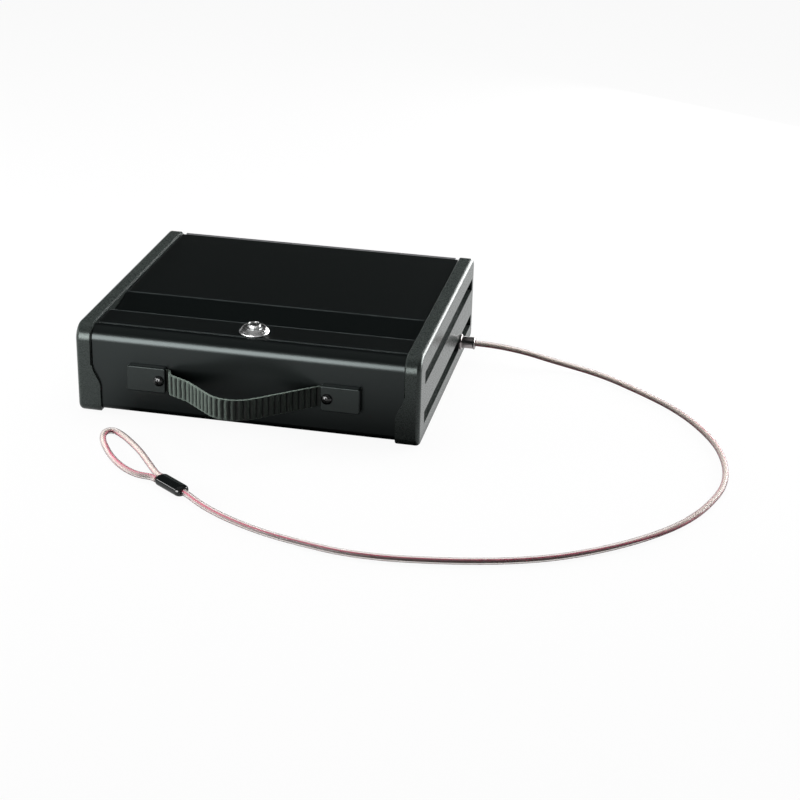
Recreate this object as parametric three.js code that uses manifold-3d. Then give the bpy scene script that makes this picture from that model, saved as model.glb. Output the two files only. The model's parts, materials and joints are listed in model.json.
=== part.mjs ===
// A portable car safe: a folded steel case between two moulded end caps, with a hinged lid, a cam
// lock in the lid's front strip, a webbing handle on the front and a tethering cable on the right.
// Millimetres, +Z up. The front faces -Y and the safe stands on z = 0.

import * as THREE from 'three';
import { mergeVertices } from 'three/addons/utils/BufferGeometryUtils.js';
import Module from 'manifold-3d';

const wasm = await Module();
wasm.setup();

// Overall sizes
const CASE_WIDTH = 250;
const CASE_DEPTH = 216;
const CASE_HEIGHT = 67;
const HANDLE_REACH = 39; // the webbing bow, in front of the end caps
const GAP = 0.3; // between pieces that touch

// Folded steel body
const SHEET = 1.6;
const BODY_SETBACK = 2; // the caps stand this far in front of the body and behind it
const BODY_RAISE = 2.2; // the caps' feet hold the body this far up
const BODY_RADIUS = 10;
const BODY_BEND = 5;
const FLANGE_FLAT = 1.2;
const FLANGE_LIP = 7.6;

// Lid
const LID_DROP = 1.8; // below the top of the caps
const SEAM = 0.5;
const LID_SIDE_GAP = 0.7;
const LID_LIP = 6.7;
const STRIP_DEPTH = 26.1;
const RECESS_LENGTH = 37.4;
const RECESS_DEPTH = 6.3;
const RECESS_SLANT = 1;
const LID_BEND = 1;
const LID_REST = 0.5; // between the lid and the end plates under it

// End caps
const CAP_THICK = 11.7;
const CAP_FRONT_RADIUS = 12;
const CAP_BACK_RADIUS = 6.5;
const CAP_FLOOR_RADIUS = 6.5;
const CAP_EDGE = 3.3;
const CAP_WALL = 2.2;
const FOOT_REACH = 5.7; // how far the foot laps over the body
const FOOT_HEIGHT = 20.5;
const FOOT_BLEND = 16.5;
const FOOT_CORNER = 3;
const CHANNEL_HEIGHT = 9.4;
const CHANNEL_DEPTH = 6;
const CHANNEL_FRONT = 16.5;
const CHANNEL_BACK = 8;
const CHANNEL_RAISE = 16.8; // middle of the low channel, above the floor
const CHANNEL_DROP = 20.2; // middle of the high channel, below the top
const CAP_BOSS_RADIUS = 5;
const CAP_SCREW_RADIUS = 1.75;
const CAP_SCREW_HEAD = 3.2;
const CAP_SCREW_CROWN = 2.2; // radius of the flat on top of the head
const CAP_SCREW_HEAD_HEIGHT = 2.2;
const CAP_SCREW_BITE = 6.5;
const CAP_SCREW_INSET = 30; // from the caps' front and back
const CAP_SCREW_DROP = 10.5; // of the upper screws, below the top

// Piano hinge along the back
const HINGE_CAP_GAP = 2.8; // between the hinge's ends and the caps
const HINGE_LENGTH = CASE_WIDTH - 2 * (CAP_THICK + HINGE_CAP_GAP);
const KNUCKLES = 5;
const KNUCKLE_RADIUS = 2.8;
const HINGE_PIN_RADIUS = 1.1;
const HINGE_PIN_END = 0.6;
const LEAF = 1;
const LEAF_WIDTH = 13;

// Cam lock
const BARREL_RADIUS = 7.2;
const BARREL_LENGTH = 7.7; // below the lid's top
const BEZEL_RADIUS = 10.8;
const BEZEL_LAP = 0.5; // over the seam in front of the lid
const BEZEL_HEIGHT = 4;
const BEZEL_RIM = 1.2; // height of its upright edge
const COLLAR_RADIUS = 4.9;
const COLLAR_HEIGHT = 2.2;
const COLLAR_GROOVE = 0.8; // depth of the dip in the bezel round the collar
const PLUG_RADIUS = 3.5;
const LOCK_WASHER = 0.8;
const LOCK_WASHER_BAND = 1.1;
const LOCK_NUT = 3;
const LOCK_NUT_WALL = 1.2;
const CAM = 2;
const CAM_REACH = 18;
const CAM_WIDTH = 12;
const CAM_CORNER = 3;
const TAIL_SIDE = 4.8;
const KEYWAY_WIDTH = 1.5;
const KEYWAY_HEIGHT = 4.6;
const KEYWAY_DEPTH = 12;
const WAFERS = 4;
const WAFER = 1;
const WAFER_PITCH = 2;
const WAFER_WIDTH = 3.6;
const WAFER_TRAVEL = 0.5; // that a key draws each one in by
const CAM_SCREW_RADIUS = 1.3;
const CAM_SCREW_LENGTH = 4.5;
const CAM_SCREW_LAP = 1.6; // of its head over the square tail
const CAM_SCREW_CROWN = 3;
const CAM_SCREW_HEAD_HEIGHT = 1.8;

// Webbing handle
const HANDLE_OFFSET = -1.5; // from the middle of the case, to its left
const HANDLE_LEVEL = 32; // of its middle, above the floor
const STRAP_WIDTH = 15.5;
const STRAP = 2.2;
const STRAP_APEX_RADIUS = 25;
const STRAP_FOOT_RADIUS = 2.5;
const STRAP_CLEAR = 1.8; // from the right-hand cover to where the webbing turns away from the case
const KNEE_CLEAR = 2.4; // the same on the left, where the webbing first stands out to a knee
const KNEE_SPAN = 51.3; // from the handle's middle to the knee
const KNEE_REACH = 7.8; // of the knee, in front of the webbing's flat ends
const KNEE_RADIUS = 4;
const HIP_SPAN = 35.3; // from the handle's middle to where the left limb falls into line
const HIP_RADIUS = 12;
const STRAP_TAIL = 8; // webbing beyond the screw
const COVER_SPAN = 56.3; // from the handle's middle to a cover's inner end
const COVER_LENGTH = 28.2;
const COVER_HEIGHT = 19.1;
const COVER_PROUD = 5.2; // in front of the body
const COVER_CORNER = 1.6;
const COVER_EDGE = 0.7;
const STRAP_SCREW_INSET = 4.7; // from a cover's inner end
const STRAP_SCREW_RADIUS = 2;
const STRAP_SCREW_HEAD = 4;
const STRAP_SCREW_DOME = 2.5;
const STRAP_NUT = 3.2;
const STRAP_NUT_WALL = 1.5;
const CROSS_WIDTH = 0.9;
const CROSS_LENGTH = 4.4;
const CROSS_DEPTH = 1;

// Cable fitting in the right-hand cap
const FITTING_BACK = 160.5; // behind the caps' front
const FITTING_BOSS = 14;
const FITTING_RADIUS = 4;
const FITTING_FLANGE = 6;
const FITTING_FLANGE_THICK = 1.5;
const FITTING_BARREL = 4.5;
const FITTING_BARREL_LENGTH = 8.7;
const FITTING_LIP = 4.9;
const FITTING_LIP_LENGTH = 1.5;
const FITTING_CHAMFER = 0.5;
const FITTING_WASHER = 1;
const FITTING_WASHER_BAND = 3.1;
const FITTING_NUT = 4;
const FITTING_NUT_WALL = 2.4;

// Foam mat
const FOAM = 3;
const FOAM_MARGIN = 1.5; // from the end plates and the bends of the body

// Tethering cable, on the floor in front of the safe
const CABLE_DIAMETER = 4.4;
const CABLE_SIDES = 10;
const CABLE_STEPS = 72;
const EYE_STEPS = 40;
const FERRULE_LENGTH = 26;
const FERRULE_WIDTH = 10.8;
const FERRULE_HEIGHT = 7.4;
const FERRULE_END = 1.6; // length of its rounded ends
const FERRULE_TAPER = 0.28; // share of its width that the rounded ends draw in
const FERRULE_PLACE = [-21, -190.9, 3.8];
const FERRULE_TURN = -35.2; // degrees about Z

// How finely round shapes are cut into facets, and how far a cut runs past the face it enters
const ARC_STEP = Math.PI / 12;
const EDGE_STEPS = 5;
const CURVE_STEPS = 8;
const FERRULE_STEPS = 3;
const DOME_STEPS = 4;
const SEGMENTS = { fine: 32, medium: 24, knuckle: 20, small: 16, tiny: 12 };
const WELD = 1e-4;
const CUT = 1;

// The cable's own routes, from the fitting to the ferrule and round the eye
const CABLE_ROUTE = [
  [137.3, 72, 16.8],
  [150, 71.6, 16.6],
  [163, 71.4, 15.6],
  [178, 72.5, 12.9],
  [194.9, 74.2, 8.5],
  [211, 74.2, 5.2],
  [226.9, 71.6, 3],
  [242.9, 63.3, 2.4],
  [258.8, 51.2, 2.4],
  [274.7, 38.1, 2.4],
  [290.7, 23, 2.4],
  [304.7, 6.1, 2.4],
  [316.7, -12.9, 2.4],
  [326.7, -33.9, 2.4],
  [332.8, -54.9, 2.4],
  [335.8, -78, 2.4],
  [334.8, -99.2, 2.4],
  [329.8, -119.6, 2.4],
  [321.9, -140, 2.4],
  [310.9, -159.5, 2.4],
  [296.8, -177.2, 2.4],
  [279.8, -193.9, 2.4],
  [261.7, -208.3, 2.4],
  [239.7, -222.2, 2.4],
  [215.6, -232.8, 2.4],
  [189.6, -240.5, 2.4],
  [161.5, -246.2, 2.4],
  [133.5, -249.6, 2.4],
  [107.4, -249.1, 2.4],
  [83.5, -244.6, 2.4],
  [59.5, -238.2, 2.4],
  [37.6, -229.4, 2.4],
  [17.7, -218.6, 2.4],
  [4.2, -209.5, 2.7],
  [-6.1, -201.4, 3.4],
  [-10.2, -198.5, 3.6],
];
const EYE_ROUTE = [
  [-30.5, -181.2, 3.7],
  [-34.6, -178.3, 3.6],
  [-39.8, -171.3, 2.9],
  [-46.7, -161.4, 2.4],
  [-59, -144.8, 2.4],
  [-70.6, -131.8, 2.4],
  [-79, -123.6, 2.4],
  [-85.8, -118.8, 2.4],
  [-90.1, -118.5, 2.4],
  [-92.4, -122.1, 2.4],
  [-91.8, -127.9, 2.4],
  [-89.1, -135.1, 2.4],
  [-84.6, -143.2, 2.4],
  [-77.3, -154.2, 2.4],
  [-68.1, -165.2, 2.4],
  [-58.4, -173.7, 2.4],
  [-48.3, -179.3, 2.6],
  [-37.5, -182.4, 3.4],
  [-33.4, -185.3, 3.7],
];

// What follows from these sizes
const HALF = CASE_WIDTH / 2;
const ORIGIN_Y = -(CASE_DEPTH - HANDLE_REACH) / 2; // the caps' front plane, in the model's frame
const CAP_INNER = HALF - CAP_THICK;
const BODY_HALF = CAP_INNER - GAP;
const PLATE_INNER = BODY_HALF - SHEET;
const LID_HALF = CAP_INNER - LID_SIDE_GAP;
const LID_TOP = CASE_HEIGHT - LID_DROP;
const LID_UNDER = LID_TOP - SHEET;
const CHANNEL_LEVELS = { low: CHANNEL_RAISE, high: CASE_HEIGHT - CHANNEL_DROP };
const CAP_SCREW_LEVELS = {
  low: (CHANNEL_LEVELS.low + CHANNEL_LEVELS.high) / 2,
  high: CASE_HEIGHT - CAP_SCREW_DROP,
};
const BODY_BACK = CASE_DEPTH - BODY_SETBACK;
const FLOOR_TOP = BODY_RAISE + SHEET;
const FRONT_INNER = BODY_SETBACK + SHEET;
const BACK_INNER = BODY_BACK - SHEET;
const FLANGE_END = BODY_SETBACK + BODY_RADIUS + FLANGE_FLAT;
const LID_FRONT = FLANGE_END + SEAM;
const STEP_Y = LID_FRONT + STRIP_DEPTH;
const HINGE_Y = CASE_DEPTH - KNUCKLE_RADIUS;
const HINGE_Z = LID_TOP - KNUCKLE_RADIUS;
const LID_BACK = HINGE_Y - KNUCKLE_RADIUS - GAP;
const WALL_TOP = HINGE_Z - KNUCKLE_RADIUS - GAP;
const LOCK_Y = LID_FRONT + BEZEL_RADIUS - BEZEL_LAP;
const BARREL_END = LID_TOP - BARREL_LENGTH;
const CAM_TOP = BARREL_END - GAP;
const CAM_UNDER = CAM_TOP - CAM;
const BEZEL_BASE = LID_TOP + GAP;
const COLLAR_TOP = BEZEL_BASE + BEZEL_HEIGHT + COLLAR_HEIGHT;
const STRAP_BACK = BODY_SETBACK - GAP;
const COVER_FRONT = BODY_SETBACK - COVER_PROUD;
const SCREW_SPAN = COVER_SPAN + STRAP_SCREW_INSET;

const FINISH = {
  paint: { color: 0x23292a, roughness: 0.5, metalness: 0.1 },
  plastic: { color: 0x59625e, roughness: 0.6, metalness: 0 },
  cover: { color: 0x2a2f2f, roughness: 0.45, metalness: 0 },
  webbing: { color: 0x1c2421, roughness: 0.9, metalness: 0 },
  black: { color: 0x0d0f10, roughness: 0.25, metalness: 0.2 },
  chrome: { color: 0xd8dcdc, roughness: 0.1, metalness: 1 },
  steel: { color: 0xa4a8aa, roughness: 0.35, metalness: 1 },
  brass: { color: 0xc9a75a, roughness: 0.35, metalness: 1 },
  foam: { color: 0x2b2b2d, roughness: 1, metalness: 0 },
  cable: { color: 0xd9cfc2, roughness: 0.3, metalness: 0 },
};

// Outlines

// The points of an arc that rounds each corner [u, v, radius], as far as its sides leave room
function rounded(corners, open = false) {
  const count = corners.length;
  const at = (i) => new THREE.Vector2(...corners[(i + count) % count]);
  const ends = (i) => open && (i === 0 || i === count - 1);
  const cuts = corners.map(([, , radius = 0], i) => {
    if (!radius || ends(i)) return 0;
    const before = at(i - 1).sub(at(i)).normalize();
    const after = at(i + 1).sub(at(i)).normalize();
    return radius / Math.tan(Math.acos(before.dot(after)) / 2);
  });
  const points = [];
  corners.forEach((corner, i) => {
    const here = at(i);
    if (!cuts[i]) {
      points.push(here);
      return;
    }
    const before = at(i - 1).sub(here);
    const after = at(i + 1).sub(here);
    const previous = cuts[(i - 1 + count) % count];
    const next = cuts[(i + 1) % count];
    const room = Math.min(
      before.length() * cuts[i] / (cuts[i] + previous),
      after.length() * cuts[i] / (cuts[i] + next),
    );
    const cut = Math.min(cuts[i], room);
    before.normalize();
    after.normalize();
    const half = Math.acos(before.dot(after)) / 2;
    const radius = cut * Math.tan(half);
    const middle = before.clone().add(after).normalize();
    const centre = here.clone().addScaledVector(middle, radius / Math.sin(half));
    const start = here.clone().addScaledVector(before, cut).sub(centre);
    const turn = Math.sign(before.cross(after)) * -(Math.PI - 2 * half);
    const steps = Math.max(2, Math.ceil(Math.abs(turn) / ARC_STEP));
    for (let k = 0; k <= steps; k++) {
      points.push(start.clone().rotateAround(new THREE.Vector2(), turn * k / steps).add(centre));
    }
  });
  return points;
}

// An open path of corners moved to its left by a distance
function beside(corners, distance) {
  const points = corners.map(([u, v]) => new THREE.Vector2(u, v));
  const runs = points.slice(1).map((point, i) => point.clone().sub(points[i]).normalize());
  return corners.map(([u, v, radius = 0], i) => {
    const before = runs[Math.max(0, i - 1)];
    const after = runs[Math.min(runs.length - 1, i)];
    const normal = new THREE.Vector2(-before.y - after.y, before.x + after.x).normalize();
    const reach = distance / (normal.x * -before.y + normal.y * before.x);
    const bend = Math.sign(before.cross(after));
    return [u + normal.x * reach, v + normal.y * reach, radius && Math.max(0, radius - bend * distance)];
  });
}

// The outline of a sheet that runs along an open path, with its thickness to the left
function sheetOutline(path, thickness) {
  return [...rounded(path, true), ...rounded(beside(path, thickness), true).reverse()];
}

function rectangle(u0, u1, v0, v1, radius = 0) {
  return rounded([[u0, v0, radius], [u1, v0, radius], [u1, v1, radius], [u0, v1, radius]]);
}

function hexagon(flats) {
  const radius = flats / 2 / Math.cos(Math.PI / 6);
  return Array.from({ length: 6 }, (_, k) => {
    const angle = k * Math.PI / 3;
    return new THREE.Vector2(radius * Math.cos(angle), radius * Math.sin(angle));
  });
}

const moved = (points, u, v) => points.map((point) => new THREE.Vector2(point.x + u, point.y + v));

// Solids

// A closed mesh with shared corners, no flat triangles and its faces pointing out
function solid(geometry) {
  const bare = new THREE.BufferGeometry();
  bare.setAttribute('position', geometry.getAttribute('position'));
  bare.setIndex(geometry.getIndex());
  const merged = mergeVertices(bare, WELD);
  const position = merged.getAttribute('position');
  const index = merged.getIndex().array;
  const corner = (i) => new THREE.Vector3().fromBufferAttribute(position, i);
  const triangles = [];
  let volume = 0;
  for (let i = 0; i < index.length; i += 3) {
    const [a, b, c] = [index[i], index[i + 1], index[i + 2]];
    if (a === b || b === c || c === a) continue;
    triangles.push(a, b, c);
    volume += corner(a).dot(corner(b).cross(corner(c)));
  }
  if (volume < 0) triangles.reverse();
  return new wasm.Manifold(new wasm.Mesh({
    numProp: 3,
    vertProperties: new Float32Array(position.array),
    triVerts: new Uint32Array(triangles),
  }));
}

// Where an outline's [u, v] and a place along an axis lie in space
const PLACE = {
  x: (u, v, along) => [along, u, v],
  y: (u, v, along) => [u, along, v],
  z: (u, v, along) => [u, v, along],
};

const FRAME = {
  x: [[0, 1, 0], [0, 0, 1], [1, 0, 0]],
  y: [[1, 0, 0], [0, 0, 1], [0, -1, 0]],
  z: [[1, 0, 0], [0, 1, 0], [0, 0, 1]],
};

// An outline run along an axis. It is [y, z] along x, [x, z] along y and [x, y] along z.
function prism(axis, outline, from, to) {
  const [low, high] = [Math.min(from, to), Math.max(from, to)];
  const shape = new THREE.Shape(outline);
  const geometry = new THREE.ExtrudeGeometry(shape, { depth: high - low, bevelEnabled: false });
  const [u, v, along] = FRAME[axis].map((direction) => new THREE.Vector3(...direction));
  geometry.applyMatrix4(new THREE.Matrix4().makeBasis(u, v, along));
  geometry.translate(...PLACE[axis](0, 0, axis === 'y' ? high : low));
  return solid(geometry);
}

// A slab whose convex outline, given for each inset, is rounded at its far face
function softened(axis, outline, from, to, edge) {
  const rings = [[0, from]];
  for (let k = 0; k <= EDGE_STEPS; k++) {
    const angle = k / EDGE_STEPS * Math.PI / 2;
    rings.push([edge * (1 - Math.cos(angle)), to - Math.sign(to - from) * edge * (1 - Math.sin(angle))]);
  }
  const positions = rings.flatMap(([inset, along]) => (
    outline(inset).flatMap((point) => PLACE[axis](point.x, point.y, along))
  ));
  const count = outline(0).length;
  const faces = [];
  for (let ring = 0; ring < rings.length - 1; ring++) {
    for (let j = 0; j < count; j++) {
      const [a, b] = [ring * count + j, ring * count + (j + 1) % count];
      faces.push(a, b, b + count, a, b + count, a + count);
    }
  }
  const last = (rings.length - 1) * count;
  for (let j = 1; j < count - 1; j++) faces.push(0, j + 1, j, last, last + j, last + j + 1);
  const geometry = new THREE.BufferGeometry();
  geometry.setAttribute('position', new THREE.Float32BufferAttribute(positions, 3));
  geometry.setIndex(faces);
  return solid(geometry);
}

function box([x0, x1], [y0, y1], [z0, z1]) {
  const geometry = new THREE.BoxGeometry(Math.abs(x1 - x0), Math.abs(y1 - y0), Math.abs(z1 - z0));
  geometry.translate((x0 + x1) / 2, (y0 + y1) / 2, (z0 + z1) / 2);
  return solid(geometry);
}

// A profile of [radius, place along the axis], turned about a line through [u, v]
function turned(axis, [u, v], profile, segments = SEGMENTS.medium) {
  const points = profile.map(([radius, along]) => new THREE.Vector2(radius, along));
  const geometry = new THREE.LatheGeometry(points, segments);
  if (axis === 'x') geometry.rotateZ(-Math.PI / 2);
  if (axis === 'z') geometry.rotateX(Math.PI / 2);
  geometry.translate(...PLACE[axis](u, v, 0));
  return solid(geometry);
}

function rod(axis, centre, radius, from, to, segments) {
  return turned(axis, centre, [[0, from], [radius, from], [radius, to], [0, to]], segments);
}

function ring(axis, centre, [inner, outer], from, to) {
  const profile = [[inner, from], [outer, from], [outer, to], [inner, to], [inner, from]];
  return turned(axis, centre, profile);
}

function cord(route, steps) {
  const section = new THREE.Shape(Array.from({ length: CABLE_SIDES }, (_, k) => {
    const angle = 2 * Math.PI * k / CABLE_SIDES;
    return new THREE.Vector2(Math.cos(angle), Math.sin(angle)).multiplyScalar(CABLE_DIAMETER / 2);
  }));
  const points = route.map((point) => new THREE.Vector3(...point));
  const path = new THREE.CatmullRomCurve3(points, false, 'centripetal');
  return solid(new THREE.ExtrudeGeometry(section, { steps, extrudePath: path, bevelEnabled: false }));
}

function piece(name, manifold, finish) {
  const { vertProperties, triVerts } = manifold.getMesh();
  const geometry = new THREE.BufferGeometry();
  geometry.setAttribute('position', new THREE.BufferAttribute(vertProperties, 3));
  geometry.setIndex(new THREE.BufferAttribute(triVerts, 1));
  const mesh = new THREE.Mesh(geometry, new THREE.MeshStandardMaterial(FINISH[finish]));
  mesh.name = name;
  return mesh;
}

// The folded paths of the body and the lid, as [y, z, bend radius], with their steel to the left

const bodyPath = [
  [FLANGE_END, LID_TOP - FLANGE_LIP],
  [FLANGE_END, LID_TOP, LID_BEND],
  [BODY_SETBACK, LID_TOP, BODY_RADIUS],
  [BODY_SETBACK, BODY_RAISE, BODY_BEND],
  [BODY_BACK, BODY_RAISE, BODY_BEND],
  [BODY_BACK, WALL_TOP],
];

const lidPath = [
  [LID_BACK, LID_TOP],
  [STEP_Y + RECESS_LENGTH, LID_TOP, LID_BEND],
  [STEP_Y + RECESS_SLANT, LID_TOP - RECESS_DEPTH, LID_BEND],
  [STEP_Y, LID_TOP, LID_BEND],
  [LID_FRONT, LID_TOP, LID_BEND],
  [LID_FRONT, LID_TOP - LID_LIP],
];

// Places of the fixings

const sides = [['left', -1], ['right', 1]];
const capScrewSpots = [
  ['front_low', CAP_SCREW_INSET, CAP_SCREW_LEVELS.low],
  ['back_low', CASE_DEPTH - CAP_SCREW_INSET, CAP_SCREW_LEVELS.low],
  ['front_high', CAP_SCREW_INSET, CAP_SCREW_LEVELS.high],
  ['back_high', CASE_DEPTH - CAP_SCREW_INSET, CAP_SCREW_LEVELS.high],
];
const fittingSpot = [FITTING_BACK, CHANNEL_LEVELS.low];
const lockSpot = [0, LOCK_Y];
const hingeSpot = [HINGE_Y, HINGE_Z];
const screwSpot = (side) => [HANDLE_OFFSET + side * SCREW_SPAN, HANDLE_LEVEL];

// Steel body

function baseShell() {
  let shell = prism('x', sheetOutline(bodyPath, SHEET), -BODY_HALF, BODY_HALF);
  for (const [, side] of sides) {
    const hole = rod('y', screwSpot(side), STRAP_SCREW_RADIUS + GAP, 0, FRONT_INNER + CUT);
    shell = shell.subtract(hole);
  }
  return piece('base_shell', shell, 'paint');
}

// A steel end wall inside the shell. Its top edge follows the underside of the lid.
function endPlate(name, side) {
  const inside = beside(bodyPath, SHEET + GAP);
  const [lip, flange, brow, frontFloor, backFloor] = inside;
  const notch = LID_TOP - FLANGE_LIP - LID_REST;
  const under = beside(lidPath, SHEET + LID_REST);
  const outline = rounded([
    [lip[0], notch],
    [flange[0], flange[1]],
    brow,
    frontFloor,
    backFloor,
    [backFloor[0], under[0][1]],
    ...under.slice(1, -1),
    [under.at(-1)[0], notch],
  ]);
  let plate = prism('x', outline, side * PLATE_INNER, side * BODY_HALF);
  for (const [, y, z] of capScrewSpots) {
    plate = plate.subtract(rod('x', [y, z], CAP_SCREW_RADIUS + GAP, -HALF, HALF, SEGMENTS.small));
  }
  if (side > 0) plate = plate.subtract(rod('x', fittingSpot, FITTING_RADIUS + GAP, 0, HALF));
  return piece(name, plate, 'paint');
}

// End caps

function capOutline(inset) {
  return rounded([
    [inset, inset, CAP_FLOOR_RADIUS - inset],
    [CASE_DEPTH - inset, inset, CAP_FLOOR_RADIUS - inset],
    [CASE_DEPTH - inset, CASE_HEIGHT - inset, CAP_BACK_RADIUS - inset],
    [inset, CASE_HEIGHT - inset, CAP_FRONT_RADIUS - inset],
  ]);
}

// The foot that laps round the body: wide at the floor, drawn in by an S-curve above
function capFoot(side) {
  const toe = CAP_INNER - FOOT_REACH;
  const curve = Array.from({ length: CURVE_STEPS + 1 }, (_, k) => [
    toe + FOOT_REACH * (1 - Math.cos(Math.PI * k / CURVE_STEPS)) / 2,
    FOOT_HEIGHT + FOOT_BLEND * k / CURVE_STEPS,
  ]);
  const flare = rounded([[HALF, 0], [toe, 0, FOOT_CORNER], ...curve, [HALF, FOOT_HEIGHT + FOOT_BLEND]]);
  const outline = flare.map(({ x, y }) => new THREE.Vector2(side * x, y));
  const well = rounded([
    [BODY_SETBACK - GAP, BODY_RAISE - GAP, BODY_BEND + GAP],
    [BODY_BACK + GAP, BODY_RAISE - GAP, BODY_BEND + GAP],
    [BODY_BACK + GAP, CASE_HEIGHT],
    [BODY_SETBACK - GAP, CASE_HEIGHT],
  ]);
  return prism('x', capOutline(0), side * toe, side * (CAP_INNER + CUT))
    .intersect(prism('y', outline, -CUT, CASE_DEPTH + CUT))
    .subtract(prism('x', well, side * (toe - CUT), side * CAP_INNER));
}

// The boxes cut out of a cap's outer face. The right-hand cap keeps a boss for the cable fitting.
function capChannels(side) {
  const depth = [side * (HALF - CHANNEL_DEPTH), side * (HALF + CUT)];
  const ends = [CHANNEL_FRONT, CASE_DEPTH - CHANNEL_BACK];
  const height = (level) => [level - CHANNEL_HEIGHT / 2, level + CHANNEL_HEIGHT / 2];
  const high = box(depth, ends, height(CHANNEL_LEVELS.high));
  const low = box(depth, ends, height(CHANNEL_LEVELS.low));
  const boss = [FITTING_BACK - FITTING_BOSS / 2, FITTING_BACK + FITTING_BOSS / 2];
  const kept = box(depth, boss, height(CHANNEL_LEVELS.low));
  return high.add(side > 0 ? low.subtract(kept) : low);
}

// The hollow behind the middle band, with a boss left standing for each screw there
function capHollow(side) {
  const reach = [side * (CAP_INNER - CUT), side * (HALF - CAP_WALL)];
  const bottom = CHANNEL_LEVELS.low + CHANNEL_HEIGHT / 2 + CAP_WALL;
  const top = CHANNEL_LEVELS.high - CHANNEL_HEIGHT / 2 - CAP_WALL;
  let hollow = box(reach, [CHANNEL_FRONT, CASE_DEPTH - CHANNEL_BACK], [bottom, top]);
  for (const [, y, z] of capScrewSpots) {
    hollow = hollow.subtract(rod('x', [y, z], CAP_BOSS_RADIUS, -HALF, HALF));
  }
  return hollow;
}

function endCap(name, side) {
  let cap = softened('x', capOutline, side * CAP_INNER, side * HALF, CAP_EDGE)
    .add(capFoot(side))
    .subtract(capChannels(side))
    .subtract(capHollow(side));
  for (const [, y, z] of capScrewSpots) {
    const pilot = [side * (CAP_INNER - CUT), side * (CAP_INNER + CAP_SCREW_BITE + GAP)];
    cap = cap.subtract(rod('x', [y, z], CAP_SCREW_RADIUS + GAP, ...pilot, SEGMENTS.small));
  }
  if (side > 0) cap = cap.subtract(rod('x', fittingSpot, FITTING_RADIUS + GAP, 0, HALF + CUT));
  return piece(name, cap, 'plastic');
}

function capScrew(name, side, y, z) {
  const under = side * (PLATE_INNER - GAP);
  const crown = under - side * CAP_SCREW_HEAD_HEIGHT;
  const tip = side * (CAP_INNER + CAP_SCREW_BITE);
  const profile = [
    [0, crown],
    [CAP_SCREW_CROWN, crown],
    [CAP_SCREW_HEAD, (under + crown) / 2],
    [CAP_SCREW_HEAD, under],
    [CAP_SCREW_RADIUS, under],
    [CAP_SCREW_RADIUS, tip],
    [0, tip],
  ];
  return piece(name, turned('x', [y, z], profile, SEGMENTS.tiny), 'steel');
}

function foamMat() {
  const width = PLATE_INNER - FOAM_MARGIN;
  const inset = BODY_BEND - SHEET + FOAM_MARGIN;
  const bottom = FLOOR_TOP + GAP;
  const outline = rectangle(-width, width, FRONT_INNER + inset, BACK_INNER - inset, FOAM);
  return piece('foam_mat', prism('z', outline, bottom, bottom + FOAM), 'foam');
}

// Lid and hinge

function lidPanel() {
  const panel = prism('x', sheetOutline(lidPath, SHEET), -LID_HALF, LID_HALF);
  const hole = rod('z', lockSpot, BARREL_RADIUS + GAP, LID_UNDER - CUT, LID_TOP + CUT, SEGMENTS.fine);
  return piece('lid', panel.subtract(hole), 'paint');
}

// The knuckles numbered from the left that belong to one leaf, each joined to it by its tab
function knuckles(first, tab) {
  const pitch = HINGE_LENGTH / KNUCKLES;
  let joined = null;
  for (let k = first; k < KNUCKLES; k += 2) {
    const from = -HINGE_LENGTH / 2 + k * pitch + GAP / 2;
    const to = from + pitch - GAP;
    const knuckle = rod('x', hingeSpot, KNUCKLE_RADIUS, from, to, SEGMENTS.knuckle)
      .add(box([from, to], ...tab));
    joined = joined ? joined.add(knuckle) : knuckle;
  }
  return joined;
}

function hingeLeaf(name, first, plate, tab) {
  const length = [-HINGE_LENGTH / 2, HINGE_LENGTH / 2];
  const bore = rod('x', hingeSpot, HINGE_PIN_RADIUS + GAP, -HALF, HALF, SEGMENTS.small);
  return piece(name, box(length, ...plate).add(knuckles(first, tab)).subtract(bore), 'steel');
}

function hingeLeafLid() {
  const height = [LID_UNDER - GAP - LEAF, LID_UNDER - GAP];
  const plate = [[LID_BACK - LEAF_WIDTH, LID_BACK], height];
  return hingeLeaf('hinge_leaf_lid', 1, plate, [[LID_BACK - GAP, HINGE_Y], height]);
}

function hingeLeafBody() {
  const depth = [BACK_INNER - GAP - LEAF, BACK_INNER - GAP];
  const plate = [depth, [WALL_TOP - LEAF_WIDTH, WALL_TOP]];
  return hingeLeaf('hinge_leaf_body', 0, plate, [depth, [WALL_TOP - GAP, HINGE_Z]]);
}

function hingePin() {
  const end = HINGE_LENGTH / 2 + HINGE_PIN_END;
  return piece('hinge_pin', rod('x', hingeSpot, HINGE_PIN_RADIUS, -end, end, SEGMENTS.small), 'steel');
}

// Cam lock. Its plug, cam and wafers turn together.

const waferTop = (k) => COLLAR_TOP - GAP - WAFER_PITCH * (k + 1);

function lockHousing() {
  const bore = PLUG_RADIUS + GAP;
  const bezelTop = BEZEL_BASE + BEZEL_HEIGHT;
  const profile = [
    [bore, BARREL_END],
    [BARREL_RADIUS, BARREL_END],
    [BARREL_RADIUS, BEZEL_BASE],
    [BEZEL_RADIUS, BEZEL_BASE],
    [BEZEL_RADIUS, BEZEL_BASE + BEZEL_RIM],
    [(BEZEL_RADIUS + COLLAR_RADIUS) / 2, bezelTop],
    [COLLAR_RADIUS, bezelTop - COLLAR_GROOVE],
    [COLLAR_RADIUS, COLLAR_TOP],
    [bore, COLLAR_TOP],
    [bore, BARREL_END],
  ];
  return piece('lock_housing', turned('z', lockSpot, profile, SEGMENTS.fine), 'chrome');
}

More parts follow.
